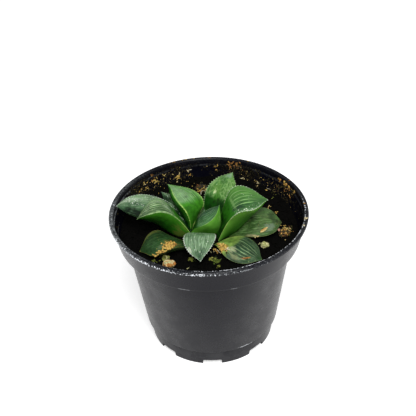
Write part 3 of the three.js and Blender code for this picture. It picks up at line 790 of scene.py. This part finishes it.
def leafSkin(name, look):
    # a succulent's skin: waxy, satin and a little translucent, with pale streaks in watery grey-green
    # windows on the upper face and an even, fresher green below
    material, shader, add = newMaterial("waxyLeafSkin_" + name)
    place = add("TexCoord", out="Object")
    across, along, _ = add("SeparateXYZ", add("UVMap", uv_map="leafFace")).node.outputs
    below, height, _ = add("SeparateXYZ", add("UVMap", uv_map="leafSide")).node.outputs
    share = add("Math", across, 2.0, -1.0, **timesPlus)
    fromMiddle = add("Math", share, operation="ABSOLUTE")
    spot = add("CombineXYZ", along, share)
    # how high the skin stands over its margin: 1 on the middle of the face, -1 along the keel
    height = add("Math", height, 2.0, -1.0, **timesPlus)
    cloud = add("TexNoise", place, Scale=330.0, Detail=5.0, Roughness=0.6)
    broad = add("TexNoise", place, Scale=120.0, Detail=2.0)
    # fibres that run with the leaf, about 0.6 mm wide and 5 mm long
    run = add("Mapping", spot, Scale=(5.0, 13.0, 1.0))
    fibre = add("TexNoise", run, Scale=1.0, Detail=4.0, Roughness=0.6)

    # streaks along the leaf, 1.6 to 2 mm apart, nearly straight, some of them broken
    waver = add("Math", broad, 0.16, -0.08, **timesPlus)
    lane = add("Math", share, look["veins"] / 2, waver, **timesPlus)
    lane = add("Math", lane, 0.5, operation="PINGPONG")
    vein = add("MapRange", lane, 0.20, 0.02, **softStep)
    broken = add("MapRange", fibre, 0.38, 0.52)
    faded = add("MapRange", along, look["veinsTo"], look["veinsTo"] - 0.25, 0, look["veinShare"])
    inner = add("MapRange", fromMiddle, 0.95, 0.55)
    for limit in (broken, faded, inner):
        vein = add("Math", vein, limit, **times)
    # a faint net of cross veins between them
    net = add("Mapping", spot, Scale=look["netRun"])
    net = add("TexVoronoi", net, Scale=1.0, feature="DISTANCE_TO_EDGE")
    net = add("MapRange", net, 0.14, 0.02, 0, look["net"])
    vein = add("Math", vein, net, **larger)
    # painted shade across the upper face: the window changes from one colour to the other between the margins
    toLeft = add("MapRange", share, -0.8, 0.8, **softStep)
    window = add("Mix", toLeft, look["window"][0], look["window"][1], **mixColour)
    window = add("Mix", vein, window, look["vein"], **mixColour)

    # fibres and clouding of the window, and its change to the plain green of the root
    stripe = add("MapRange", fibre, 0.32, 0.68, 1 - look["stripes"], 1 + look["stripes"])
    window = add("Mix", 1.0, window, stripe, **shadeColour)
    start = add("Math", broad, 0.12, look["windowFrom"] - 0.06, **timesPlus)
    opened = add("Math", along, start, operation="SUBTRACT")
    opened = add("MapRange", opened, -0.04, 0.06, **softStep)
    shade = add("MapRange", cloud, 0.3, 0.7, 1 - look["cloud"], 1 + look["cloud"])

    # the marks are the skin's own spots and streaks and, on some leaves, painted shade
    def marked(skin, marks):
        for markAlong, markAcross, reachAlong, reachAcross, colour, strength in marks:
            mask = patchMask(add, spot, (markAlong, markAcross, 0), (reachAlong, reachAcross, 1),
                             [(cloud, 2.2), (fibre, 2.6)], (3.45, 2.75), strength, **softStep)
            skin = add("Mix", mask, skin, colour, **mixColour)
        return add("Mix", 1.0, skin, shade, **shadeColour)

    face = marked(add("Mix", opened, look["base"], window, **mixColour), look["marks"])

    # pale flecks, 0.3 to 0.5 mm, over the window, and larger frosty beads inside the margin
    dots = add("TexVoronoi", place, Scale=1400.0, out="Distance")
    chosen = add("SeparateXYZ", dots.node.outputs["Color"])
    frost = add("MapRange", share, -0.68, -0.86, 0, look["frost"])
    belowTip = add("MapRange", along, 0.90, 0.78)
    frost = add("Math", frost, belowTip, **times)
    chosen = add("Math", frost, 0.42, chosen, **timesPlus)
    dots = add("Math", frost, -0.16, dots, **timesPlus)
    dots = add("MapRange", dots, 0.40, 0.22)
    flecks = look["flecks"]
    chosen = add("MapRange", chosen, 1 - 0.16 * flecks, 1 - 0.12 * flecks, 0, 0.85)
    patch = add("MapRange", broad, 0.42, 0.56, look["fleckRest"])
    patch = add("Math", patch, frost, **larger)
    paleSide = add("MapRange", share, look["paleTo"], look["paleTo"] - 0.3)
    for limit in (chosen, opened, patch, paleSide):
        dots = add("Math", dots, limit, **times)
    face = add("Mix", dots, face, look["edge"], **mixColour)

    # underside: darker to the root and along the keel, lit through near the margin
    depth = add("MapRange", along, 0.12, 0.60, **softStep)
    under = add("Mix", depth, look["deep"], look["under"], **mixColour)
    glow = add("MapRange", height, -0.80, -0.10, 0, 0.85, **softStep)
    under = add("Mix", glow, under, look["glow"], **mixColour)
    colour = add("Mix", below, face, marked(under, look["underMarks"]), **mixColour)

    # margin, about 0.4 mm wide on either face, and tip
    onFace = add("Math", height, 3.6 / look["edgeWide"], **times)
    onBack = add("Math", height, -10.0 / look["edgeWide"], **times)
    margin = add("Math", onFace, onBack, **larger)
    margin = add("MapRange", margin, 1.0, 0.35)
    dashes = add("TexNoise", place, Scale=850.0, Detail=1.0)
    dashes = add("MapRange", dashes, 0.42, 0.54, 0.45)
    for limit in (dashes, paleSide):
        margin = add("Math", margin, limit, **times)
    point = add("MapRange", along, 0.965, 0.992, 0, 0.55)
    margin = add("Math", margin, point, **larger)
    margin = add("Math", margin, look["edgeShare"], **times)
    outer = add("MapRange", along, 0.32, 0.46)
    edge = add("Mix", outer, look["edgeRoot"], look["edge"], **mixColour)
    colour = add("Mix", margin, colour, edge, **mixColour)

    # pores of the skin, 0.5 mm, over its clouding and its veins; the wax shines more on the upper face
    relief = add("TexNoise", place, Scale=2200.0, Detail=2.0)
    relief = add("Math", relief, cloud, **plus)
    relief = add("Math", vein, 0.5, relief, **timesPlus)
    setInputs(shader, {
        "Base Color": colour,
        "Roughness": add("MapRange", cloud, 0.3, 0.7, 0.34, 0.50),
        "Normal": add("Bump", Height=relief, Strength=0.4, Distance=0.00014),
        "Specular IOR Level": add("MapRange", below, 0, 1, look["wax"], 0.12),
        "IOR": 1.42, "Subsurface Weight": 0.12, "Subsurface Radius": (0.6, 1.0, 0.25),
        "Subsurface Scale": 0.0015,
    })
    return material


skins = {name: leafSkin(name, look) for name, look in leafLooks.items()}


def stemBlank(swell=0.0):
    profile = [(0, 42 - swell), (1.56 + swell, 42 - swell), (2.86 + swell, 45), (2.6 + swell, 53.6),
               (1.82 + swell, 55.6 + swell), (0, 55.6 + swell)]
    return spinProfile(profile, 32, *crown)


def makeLeaves():
    # every leaf is cut clear of the stem and of the leaves inside it
    cutters = [stemBlank(leafDetail["stemGap"])]
    for name, leaf in leaves.items():
        bm = leafBlank(leaf)
        cutAway(bm, cutters)
        finishPiece(bm, pieceName(name), skins[leaf["look"]], [name], crease=50)
        cutters.append(leafBlank(leaf, leafDetail["gap"], leafDetail["cutterRows"],
                                 leafDetail["cutterAround"]))


makeLeaves()


# Stem

stemLook = {"colour": "#5c5a2c", "colourPale": "#8a9048"}


def stemSkin():
    # the short stem: pale brown-green, dry and scaly where old leaves have dropped
    material, shader, add = newMaterial("scalyStem")
    scales = add("TexNoise", add("TexCoord", out="Object"), Scale=700.0, Detail=4.0)
    colour = add("Mix", scales, stemLook["colour"], stemLook["colourPale"], **mixColour)
    setInputs(shader, {"Base Color": colour, "Roughness": 0.75,
                       "Normal": add("Bump", Height=scales, Strength=0.6, Distance=0.0003)})
    return material


finishPiece(stemBlank(), "stemStub", stemSkin(), ["stem"])


# Soil

soilLook = {
    "height": 55.3, "radius": 40.3,
    "outside": [(0, 10.2), (29.9, 10.2), (36.3, 55.0), (36.5, 55.9), (40.0, 56.0)],
    "sides": 160, "ring": 0.55,         # steps round the upper face and space between its rings
    "lumps": 0.45, "grit": 0.3,         # relief of the upper face
    "colour": "#030302", "colourPale": "#0e0a07",
    "crumbs": 1500, "crumbSize": (0.3, 0.8), "crumbsTo": 39.6,
    "bigCrumbs": 0.08,                  # share of the crumbs that is half as large again
}


def soilLevel(x, y):
    # a low mound at the stem, higher at the back and at the wall, with gentle hollows
    radius = math.hypot(x, y)
    mound = 0.6 * math.exp(-((x + 2) ** 2 + (y + 2) ** 2) / 200)
    back = smooth((y + 5) / 35) * smooth((radius - 26) / 12)
    hollows = 0.35 * math.sin(0.9 * x + 1.3) * math.cos(0.8 * y + 0.4) \
        + 0.25 * math.sin(1.7 * x - 1.1 * y) + 0.15 * math.cos(2.3 * y + 0.7 * x)
    return soilLook["height"] + mound + 2.6 * back + hollows + 0.6 * smooth((radius - 30) / 8)


def soilMaterial():
    # damp peat and composted bark: nearly black, crumbly, without gloss
    material, shader, add = newMaterial("dampPeatSoil")
    place = add("TexCoord", out="Object")
    grain = add("TexNoise", place, Scale=900.0, Detail=6.0, Roughness=0.7)
    pale = add("MapRange", grain, 0.50, 0.75)
    colour = add("Mix", pale, soilLook["colour"], soilLook["colourPale"], **mixColour)
    setInputs(shader, {"Base Color": colour, "Roughness": 0.95, "Specular IOR Level": 0.08,
                       "Normal": add("Bump", Height=grain, Strength=1.0, Distance=0.0006)})
    return material


soilSkin = soilMaterial()


def makeSoil():
    # the upper face is spun flat, 2 mm higher than the rest, and then let down onto the soil's level
    radius, top = soilLook["radius"], soilLook["height"] + 2
    rings = int(radius / soilLook["ring"])
    upper = [(radius * (1 - i / rings), top) for i in range(rings + 1)]
    soil = spinProfile(soilLook["outside"] + upper, soilLook["sides"])
    for vert in soil.verts:
        if vert.co.z > top - 0.1:
            spot = Vector((vert.co.x, vert.co.y, 0))
            relief = soilLook["lumps"] * noise.noise(spot * 0.7) + soilLook["grit"] * noise.noise(spot * 1.7)
            vert.co.z = soilLevel(spot.x, spot.y) + relief
    finishPiece(soil, "pottingSoil", soilSkin, ["soil"], crease=60)


makeSoil()


# Small loose things: crumbs of soil, bits of bark, grains of pumice, dry fibres

wallLook = {
    # the wall over the soil leans out from the collar's step and is upright from "top" on
    "radiusAtStep": 40.5, "step": 56.1, "lean": 0.205, "top": 63.9, "topRadius": 42.4,
    "radius": 41, "litterFrom": 56.5, "litterTo": 66.6,
    "dust": 1700, "dustFrom": 56.8, "dustHeight": 8.4, "dustSize": (0.09, 0.24),
    # dust clings to two stretches of the wall, in degrees, this share of it to the first; some goes astray
    "dustRight": (20, 75), "dustLeft": (100, 152), "dustShare": 0.32, "dustStray": 0.15,
    "dustTones": (0.0, 0.0, 0.02, 0.04, 0.05, 0.06, 0.08, 0.1, 0.14, 0.14, 0.16, 0.62),
}
crumbMesh = bpy.data.meshes.new("crumb")


def onWall(angle, level, away):
    # a place on the inside of the pot above the soil
    radius = wallLook["radiusAtStep"] + (level - wallLook["step"]) * wallLook["lean"]
    return onCircle((radius if level < wallLook["top"] else wallLook["topRadius"]) - away, angle, level)


def wallTurn(angle, spin):
    # lays a flat crumb against the wall: its thin axis points to the pot's middle
    return rotation(angle, "Z") @ rotation(math.pi / 2, "Y") @ rotation(spin, "Z")


def addCrumb(bm, rng, place, size, turn=None, tone=0.5, bend=0.0):
    # a ball of 20 faces, squashed, knocked about and bent; "tone" picks its colour. It is made by itself
    # and then joined, which is quicker.
    crumb = bmesh.new()
    toneMark = crumb.verts.layers.float.new("tone")
    bmesh.ops.create_icosphere(crumb, subdivisions=2 if bend else 1, radius=1)
    for vert in crumb.verts:
        vert.co *= 1 + rng.uniform(-0.22, 0.22)
        vert.co.y += bend * vert.co.x * vert.co.x * size[0] / size[1]
        vert[toneMark] = tone
    turn = turn or rotation(rng.uniform(0, 6.28), "Z") @ rotation(rng.uniform(-0.6, 0.6), "X")
    putDown(crumb, size, turn, place)
    crumb.to_mesh(crumbMesh)
    crumb.free()
    bm.from_mesh(crumbMesh)


def flatCrumb(bm, rng, place, long, turn, tone):
    addCrumb(bm, rng, place, (long, long * 0.7, long * 0.5), turn, tone)


def addRod(bm, rng, start, end, upward, longer, wide, thick, tone, bend=0.0):
    # a crumb stretched between two places, its thin axis near "upward"
    run = (end - start).normalized()
    across = upward.cross(run).normalized()
    turn = Matrix((run, across, run.cross(across))).transposed()
    addCrumb(bm, rng, (start + end) / 2, ((end - start).length * longer, wide, thick), turn, tone, bend)


def soilCrumbs():
    rng = random.Random(11)
    bm = bmesh.new()
    for _ in range(soilLook["crumbs"]):
        radius, angle = soilLook["crumbsTo"] * math.sqrt(rng.random()), rng.uniform(0, 2 * math.pi)
        place = onCircle(radius, angle, 0)
        size = rng.uniform(*soilLook["crumbSize"]) * (1.5 if rng.random() < soilLook["bigCrumbs"] else 1)
        place.z = soilLevel(place.x, place.y) + 0.15 * size
        addCrumb(bm, rng, place, (size, size * 0.8, size * 0.65))
    finishPiece(bm, "soilCrumbs", soilSkin, crease=80)


soilCrumbs()


def debrisMaterial(name, colours, roughness):
    # each crumb's tone, kept in its mesh, picks its colour; fine grain breaks it up
    material, shader, add = newMaterial(name)
    ramp = add("ValToRGB", add("Attribute", out="Fac", attribute_name="tone"))
    stops = ramp.node.color_ramp.elements
    stops[0].color = linear(colours[0])
    stops[1].color = linear(colours[-1])
    for i, colour in enumerate(colours[1:-1], 1):
        stops.new(i / (len(colours) - 1)).color = linear(colour)
    grain = add("TexNoise", add("TexCoord", out="Object"), Scale=1800.0, Detail=4.0)
    shade = add("MapRange", grain, 0.3, 0.7, 0.45, 1.45)
    setInputs(shader, {"Base Color": add("Mix", 1.0, ramp, shade, **shadeColour),
                       "Normal": add("Bump", Height=grain, Strength=0.8, Distance=0.0004),
                       "Roughness": roughness, "Specular IOR Level": 0.3})
    return material


debrisSkins = {
    # shredded pine bark and peat fibre, dry: brown, olive, rust, orange-tan, gold, straw, pale, pink-tan
    "bark": debrisMaterial("shreddedPineBark", ["#1c1811", "#4f4a22", "#74492a", "#b58340", "#cfb058",
                                                "#cbba88", "#e0d9c0", "#c28a72"], 0.85),
    # pumice, porous, stained by the soil: olive, yellow-green, straw, pale, orange, rust
    "pumice": debrisMaterial("stainedPumice", ["#4d4a1e", "#8a9048", "#acae74", "#d6cc9c", "#bd8640",
                                               "#8f4f22"], 0.9),
    # bits of dry moss: dark olive, olive, yellow-green, straw
    "moss": debrisMaterial("dryMoss", ["#171d0a", "#415518", "#858a38", "#c2bd78"], 0.95),
}


def addLitter(bm, rng, place, size, tone, turn=None):
    # one bit of litter: a curled shred or a grain
    tone = min(max(tone + rng.uniform(-0.06, 0.06), 0.0), 1.0)
    long = size * rng.uniform(0.6, 1.4)
    if size < 0.9 and (rng.random() < 0.65 or tone > 0.75):
        addCrumb(bm, rng, place, (long, 0.13 + 0.1 * long, 0.12 + 0.08 * long), turn, tone,
                 rng.uniform(-0.7, 0.7))
    else:
        addCrumb(bm, rng, place, (long * 0.55, long * 0.45, long * 0.35), turn, tone)


def clusterOnWall(bm, rng, x, y, level, count, spread, size, tone):
    azimuth = math.atan2(y, x)
    for _ in range(count):
        angle = azimuth + rng.gauss(0, spread * 0.6) / wallLook["radius"]
        high = min(max(level + rng.gauss(0, spread * 0.45), wallLook["litterFrom"]), wallLook["litterTo"])
        own = rng.uniform(0.0, 0.18) if rng.random() < 0.3 else tone + rng.uniform(-0.08, 0.08)
        addLitter(bm, rng, onWall(angle, high, 0.15), size, own, wallTurn(angle, rng.uniform(0, 3.14)))


def clusterOnSoil(bm, rng, x, y, count, spread, size, tone, lift=0.0):
    for _ in range(count):
        px, py = x + rng.gauss(0, spread * 0.6), y + rng.gauss(0, spread * 0.6)
        addLitter(bm, rng, (px, py, soilLevel(px, py) + lift + 0.25 * size), size, tone)


def onLeaf(name, t, share, above):
    # a place over a leaf's upper face, and which way that faces
    face, _, _, side, normal = leafFrame(leaves[name], t)
    half, dome = leafWidths(leaves[name], t)
    return face + side * (share * half) + normal * (domeRise(dome, share) + above), normal


def clusterOnLeaf(bm, rng, name, along, across, reachAlong, reachAcross, count, size, tone):
    # crumbs that lie on a leaf's upper face, heaped towards the middle of the place
    for _ in range(count):
        near, wide = rng.gauss(0, 0.5), rng.gauss(0, 0.5)
        share = min(max(across + wide * reachAcross, -1.05), 1.05)
        heap = 0.88 * math.exp(-2 * (near * near + wide * wide)) * rng.random() * size
        addLitter(bm, rng, onLeaf(name, along + near * reachAlong, share, 0.1 + heap)[0], size, tone)


def clusterOnLip(bm, rng, turn, count, size, tone):
    for _ in range(count):
        angle, radius = math.radians(turn + rng.gauss(0, 1.0)), rng.uniform(*potLook["lipFlat"])
        flatCrumb(bm, rng, onCircle(radius, angle, rim + 0.05), size, None, tone + rng.uniform(-0.05, 0.05))


def addFlake(bm, rng, name, start, end, wide, tone):
    # a thin dry flake that lies on a leaf between two places
    start, end = onLeaf(name, *start, 0.25), onLeaf(name, *end, 0.25)
    addRod(bm, rng, start[0], end[0], end[1], 0.5, wide, 0.16, tone, 0.12)


def addRootlet(bm, rng, points, level, tone):
    # a thin dry rootlet: short rods end to end along an arc through three places
    count = 14
    places = [Vector(blend(((1 - t) ** 2, 2 * t * (1 - t), t * t), points) + [level + 2.0 * t * (1 - t)])
              for t in [i / count for i in range(count + 1)]]
    for start, end in zip(places, places[1:]):
        addRod(bm, rng, start, end, Vector((0, 0, 1)), 0.75, 0.15, 0.13, tone)


# What a row holds. wall: x, y, height, count, spread, size, tone. soil, moss and pumice: x, y, count,
# spread, size, tone and how far above the soil. leaf: the leaf, place along and across it, reach along and
# across, count, size, tone. rootlet: three places, height, tone. lip: turn in degrees, count, size, tone.
# flake: the leaf, both ends along and across it, width, tone.
litter = {
    "wall": [(-27, 32.7, 64.2, 8, 1.8, 0.5, 0.34), (-29.9, 29.5, 63.1, 6, 1.3, 0.55, 0.62),
        (-24.4, 33.7, 61.2, 18, 1.5, 0.78, 0.56), (-29.1, 29.4, 60.2, 8, 1.1, 0.55, 0.62),
        (-32.2, 26.5, 61.4, 4, 0.8, 0.55, 0.55), (-21.5, 35.8, 62.4, 6, 1.8, 0.45, 0.6),
        (-14.8, 38.7, 60.2, 6, 0.8, 0.85, 0.5), (-13.2, 39, 61.6, 3, 0.7, 0.7, 0.66),
        (-17.5, 37.6, 61.8, 4, 1.2, 0.4, 0.7), (-8.9, 40.7, 61.8, 5, 0.9, 0.55, 0.8),
        (-8.2, 40.8, 60, 3, 0.6, 0.6, 0.45), (4.2, 41.7, 63.2, 6, 0.7, 0.75, 0.45),
        (4.4, 41.4, 61.6, 3, 0.5, 0.7, 0.42), (0.8, 42, 63.4, 3, 0.8, 0.35, 0.6),
        (10.8, 40.7, 64.2, 12, 1.6, 0.58, 0.36), (13.3, 40.3, 65.6, 16, 2, 0.6, 0.38),
        (15.2, 39.3, 64.1, 7, 1.2, 0.62, 0.34), (17.6, 38.6, 62.6, 4, 1, 0.5, 0.28),
        (12.2, 40.6, 63.2, 5, 1.6, 0.4, 0.3), (17.4, 37.2, 58.7, 3, 0.6, 0.6, 0.72),
        (24.4, 32.9, 58.2, 5, 0.5, 0.85, 0.8), (23.6, 33.8, 59.6, 3, 0.7, 0.45, 0.6),
        (34.3, 25, 65.2, 7, 0.7, 1.05, 0.48), (36.5, 21.6, 65, 16, 1.1, 1.15, 0.5),
        (38.1, 18.6, 64.8, 12, 1.3, 0.85, 0.46), (39.6, 15.6, 64.8, 7, 1.3, 0.55, 0.5),
        (33.4, 24.6, 61, 9, 1.5, 0.5, 0.16), (36.4, 20.6, 62.4, 8, 1.6, 0.5, 0.36),
        (38.6, 16.6, 61.4, 6, 1.4, 0.45, 0.42), (40.1, 13.7, 64.8, 5, 0.9, 0.6, 0.48),
        (26.5, 32, 61, 5, 2.4, 0.3, 0.6), (20, 36.8, 60, 6, 2.6, 0.28, 0.62),
        (30.5, 28.4, 61.6, 5, 2, 0.32, 0.5)],
    "soil": [(-4.7, 31.7, 10, 1.6, 0.5, 0.12), (-1.2, 33.8, 9, 1.5, 0.5, 0.14),
        (-4.4, 29.3, 11, 0.9, 0.45, 0.5, 2), (-2.2, 29.9, 11, 1, 0.45, 0.55, 2.2),
        (-0.7, 29.7, 8, 0.8, 0.42, 0.62, 1.6), (-4.6, 31, 7, 0.9, 0.42, 0.3, 2.6),
        (-3.4, 29.2, 7, 0.9, 0.5, 0.14, 0.8), (2, -14.4, 12, 0.9, 0.75, 0.54),
        (3.4, -15.6, 8, 0.8, 0.6, 0.5), (27.9, 26.6, 3, 0.6, 0.55, 0.56), (28.6, 15.3, 5, 0.7, 0.5, 0.6),
        (30, -0.6, 7, 1.3, 0.6, 0.95), (33.9, -0.6, 9, 1.5, 0.6, 0.55), (35.6, -3.9, 8, 1.3, 0.6, 0.42),
        (32.4, -7.2, 6, 1.2, 0.55, 0.6), (31.4, -4.6, 5, 0.5, 1.15, 0.98, 1.4),
        (34.8, -4, 6, 1, 0.62, 0.66, 2.4), (33.6, -6.8, 5, 0.9, 0.62, 0.42, 1.8),
        (34, -5.2, 12, 1.3, 0.75, 0.05, 1.9), (36.2, -1.4, 6, 1.3, 0.45, 0.16),
        (-14.6, 36.4, 3, 0.5, 0.5, 0.7), (31.6, 11.2, 5, 0.7, 0.62, 0.56),
        (31.5, 24.8, 8, 1.6, 0.5, 0.14), (18, 36.2, 6, 2.2, 0.3, 0.66), (24, 30.6, 7, 2.6, 0.28, 0.62),
        (-22, 30, 8, 3.5, 0.28, 0.55), (-10, 35, 8, 3.5, 0.28, 0.55)],
    "moss": [(-8.2, -20.2, 14, 1, 0.95, 0.6), (0.5, -20.8, 7, 1.2, 0.9, 0.7),
        (3, -22.3, 14, 1.3, 0.95, 0.4), (3.8, -25.6, 7, 0.9, 0.7, 0.62), (2.4, -21, 12, 1.7, 0.6, 0.15),
        (-7, -19.6, 9, 1.6, 0.6, 0.15), (-22.4, -16.2, 8, 1.6, 0.45, 0.45),
        (31.8, 22.4, 8, 1.6, 0.45, 0.55), (-20.2, -17.4, 7, 1, 0.5, 0.6),
        (-23.9, -21, 12, 0.9, 0.62, 0.5), (35.4, -2, 8, 1.5, 0.45, 0.6), (36.6, -4.6, 12, 1.2, 0.5, 0.4),
        (-9, -21.5, 5, 0.9, 0.45, 0.6)],
    "pumice": [(-9.9, -26.5, 3, 0.3, 0.6, 0.46), (-19.4, -17.6, 4, 0.6, 0.6, 0.3),
        (22.4, -11, 4, 0.5, 0.55, 0.42), (17.3, 37.1, 2, 0.3, 0.6, 0.6), (1.2, -16.8, 3, 0.9, 0.4, 0.55)],
    "leaf": [("leaf_old_front_left", 0.46, 0.76, 0.11, 0.26, 40, 1.3, 0.52),
        ("leaf_old_front_left", 0.38, 0.56, 0.05, 0.28, 14, 1.2, 0.49),
        ("leaf_old_front_left", 0.58, 0.92, 0.12, 0.14, 18, 1.05, 0.54),
        ("leaf_old_front_left", 0.48, 0.66, 0.13, 0.34, 18, 0.9, 0.55),
        ("leaf_old_front_left", 0.66, 0.96, 0.12, 0.07, 12, 0.9, 0.5),
        ("leaf_old_front_right", 0.28, -0.7, 0.12, 0.3, 26, 1.15, 0.54),
        ("leaf_old_front_right", 0.38, -0.62, 0.06, 0.26, 14, 1, 0.57),
        ("leaf_old_front_right", 0.28, -0.68, 0.12, 0.36, 18, 0.55, 0.54),
        ("leaf_old_front_right", 0.44, -0.8, 0.03, 0.16, 7, 0.6, 0.02),
        ("leaf_old_front_right", 0.42, -0.5, 0.03, 0.1, 4, 0.55, 0.84),
        ("leaf_old_right", 0.49, -0.97, 0.06, 0.08, 10, 0.42, 0.66)],
    "rootlet": [(((1.5, 30.5), (-0.5, 27.5), (1.8, 25)), 57.3, 0.84),
        (((-3.3, 26.5), (-3.5, 29.3), (-1.3, 29.3)), 57.2, 0.84),
        (((28, 29.5), (32.5, 26), (30, 21)), 57.6, 0.78),
        (((20.5, 33), (23.5, 30), (27.5, 30.5)), 57.6, 0.84),
        (((33, -8), (37.5, -6), (36, -1)), 57.2, 0.3),
        (((3.2, -15.4), (3.2, -17.2), (4.8, -18.6)), 56.6, 0.84)],
    "lip": [(104, 5, 0.3, 0.6), (112, 4, 0.28, 0.5), (98, 3, 0.24, 0.62), (87, 3, 0.26, 0.43),
        (62, 3, 0.26, 0.6), (-13.3, 4, 0.5, 0.78), (-19.5, 3, 0.5, 0.8), (5, 2, 0.4, 0.45),
        (28, 2, 0.3, 0.45)],
    "flake": [("leaf_old_right", (0.57, -0.8), (0.69, -0.56), 0.7, 0.66),
        ("leaf_old_right", (0.58, -0.73), (0.67, -0.57), 0.35, 0.44),
        ("leaf_old_front_right", (0.74, -0.6), (0.84, -0.33), 0.35, 0.36)],
}


def makeDebris():
    rng = random.Random(5)
    # piece, material, slot, and which litter lies on it how
    pieces = [
        ("barkBits", "bark", "bark", (("wall", clusterOnWall), ("soil", clusterOnSoil),
                                      ("leaf", clusterOnLeaf), ("rootlet", addRootlet),
                                      ("lip", clusterOnLip), ("flake", addFlake))),
        ("mossBits", "moss", "bark", (("moss", clusterOnSoil),)),
        ("pumiceGrains", "pumice", "pumice", (("pumice", clusterOnSoil),)),
    ]
    for name, skin, slot, kinds in pieces:
        bm = bmesh.new()
        for kind, lay in kinds:
            for place in litter[kind]:
                lay(bm, rng, *place)
        finishPiece(bm, name, debrisSkins[skin], crease=70)
    # dust that clings to the wall, thick at the back and thin elsewhere
    dust = bmesh.new()
    for _ in range(wallLook["dust"]):
        stretch = wallLook["dustRight" if rng.random() < wallLook["dustShare"] else "dustLeft"]
        angle = rng.uniform(*stretch)
        if rng.random() < wallLook["dustStray"]:
            angle = rng.uniform(0, 360)
        angle = math.radians(angle)
        high = wallLook["dustFrom"] + wallLook["dustHeight"] * rng.random() ** 1.25
        long = rng.uniform(*wallLook["dustSize"])
        tone = rng.choice(wallLook["dustTones"])
        flatCrumb(dust, rng, onWall(angle, high, 0.08), long, wallTurn(angle, rng.uniform(0, 3.14)), tone)
    finishPiece(dust, "wallDust", debrisSkins["bark"], crease=80)


makeDebris()


# Stones and chips

stones = {
    # place, half sizes, turn, seed, size of its lumps, their tones, material and slot
    "pumice_stone": ((-17.8, -24.2, 56.5), (2.9, 2.2, 1.8), 10, 3, 1.3,
                     (0.8, 0.72, 0.62, 0.45, 0.9, 0.66), "pumice"),
    "pumice_crumb_left": ((-19.3, -19.6, 56.1), (1.8, 1.4, 1.3), 40, 5, 0.9,
                          (0.0, 0.1, 0.2, 0.2, 0.45), "pumice"),
    "pumice_crumb_right": ((24.2, -13.2, 56.3), (1.8, 1.7, 1.4), 0, 9, 0.7,
                           (0.34, 0.5, 0.42, 0.26, 0.56), "pumice"),
    "bark_chip_right": ((33.6, -5.6, 56.9), (2.7, 2.1, 1.7), 30, 12, 0.7,
                        (0.3, 0.0, 0.02, 0.12, 0.0, 0.5, 0.04, 0.26), "bark"),
    "bark_chip_back": ((-2.8, 31.8, 57.5), (3.2, 2.2, 1.3), -10, 30, 0.5,
                       (0.0, 0.04, 0.02, 0.0, 0.10, 0.0), "bark"),
}


def makeStone(node, place, size, turn, seed, lump, tones, slot):
    # a ball of uneven form, grown together from lumps, each with its own tone
    bm = bmesh.new()
    toneMark = bm.verts.layers.float.new("tone")
    bmesh.ops.create_icosphere(bm, subdivisions=5, radius=1)
    for vert in bm.verts:
        x, y, z = vert.co
        form = 1 + 0.12 * math.sin(3.1 * x + seed) * math.cos(2.7 * y - seed) \
            + 0.08 * math.sin(5.3 * z + 2 * seed + 2.2 * x)
        spot = Vector((x * size[0], y * size[1], z * size[2])) / lump + Vector((seed, 0, 0))
        distances, centres = noise.voronoi(spot)
        vert[toneMark] = tones[int(abs(noise.cell(centres[0] * 7.3)) * 97) % len(tones)]
        vert.co *= form + 0.22 * (0.45 - distances[0]) + 0.06 * noise.noise(spot * 3)
    putDown(bm, size, rotation(math.radians(turn), "Z"), place)
    finishPiece(bm, pieceName(node), debrisSkins[slot], [node], crease=70)


for node, stone in stones.items():
    makeStone(node, *stone)

print("all pieces made")
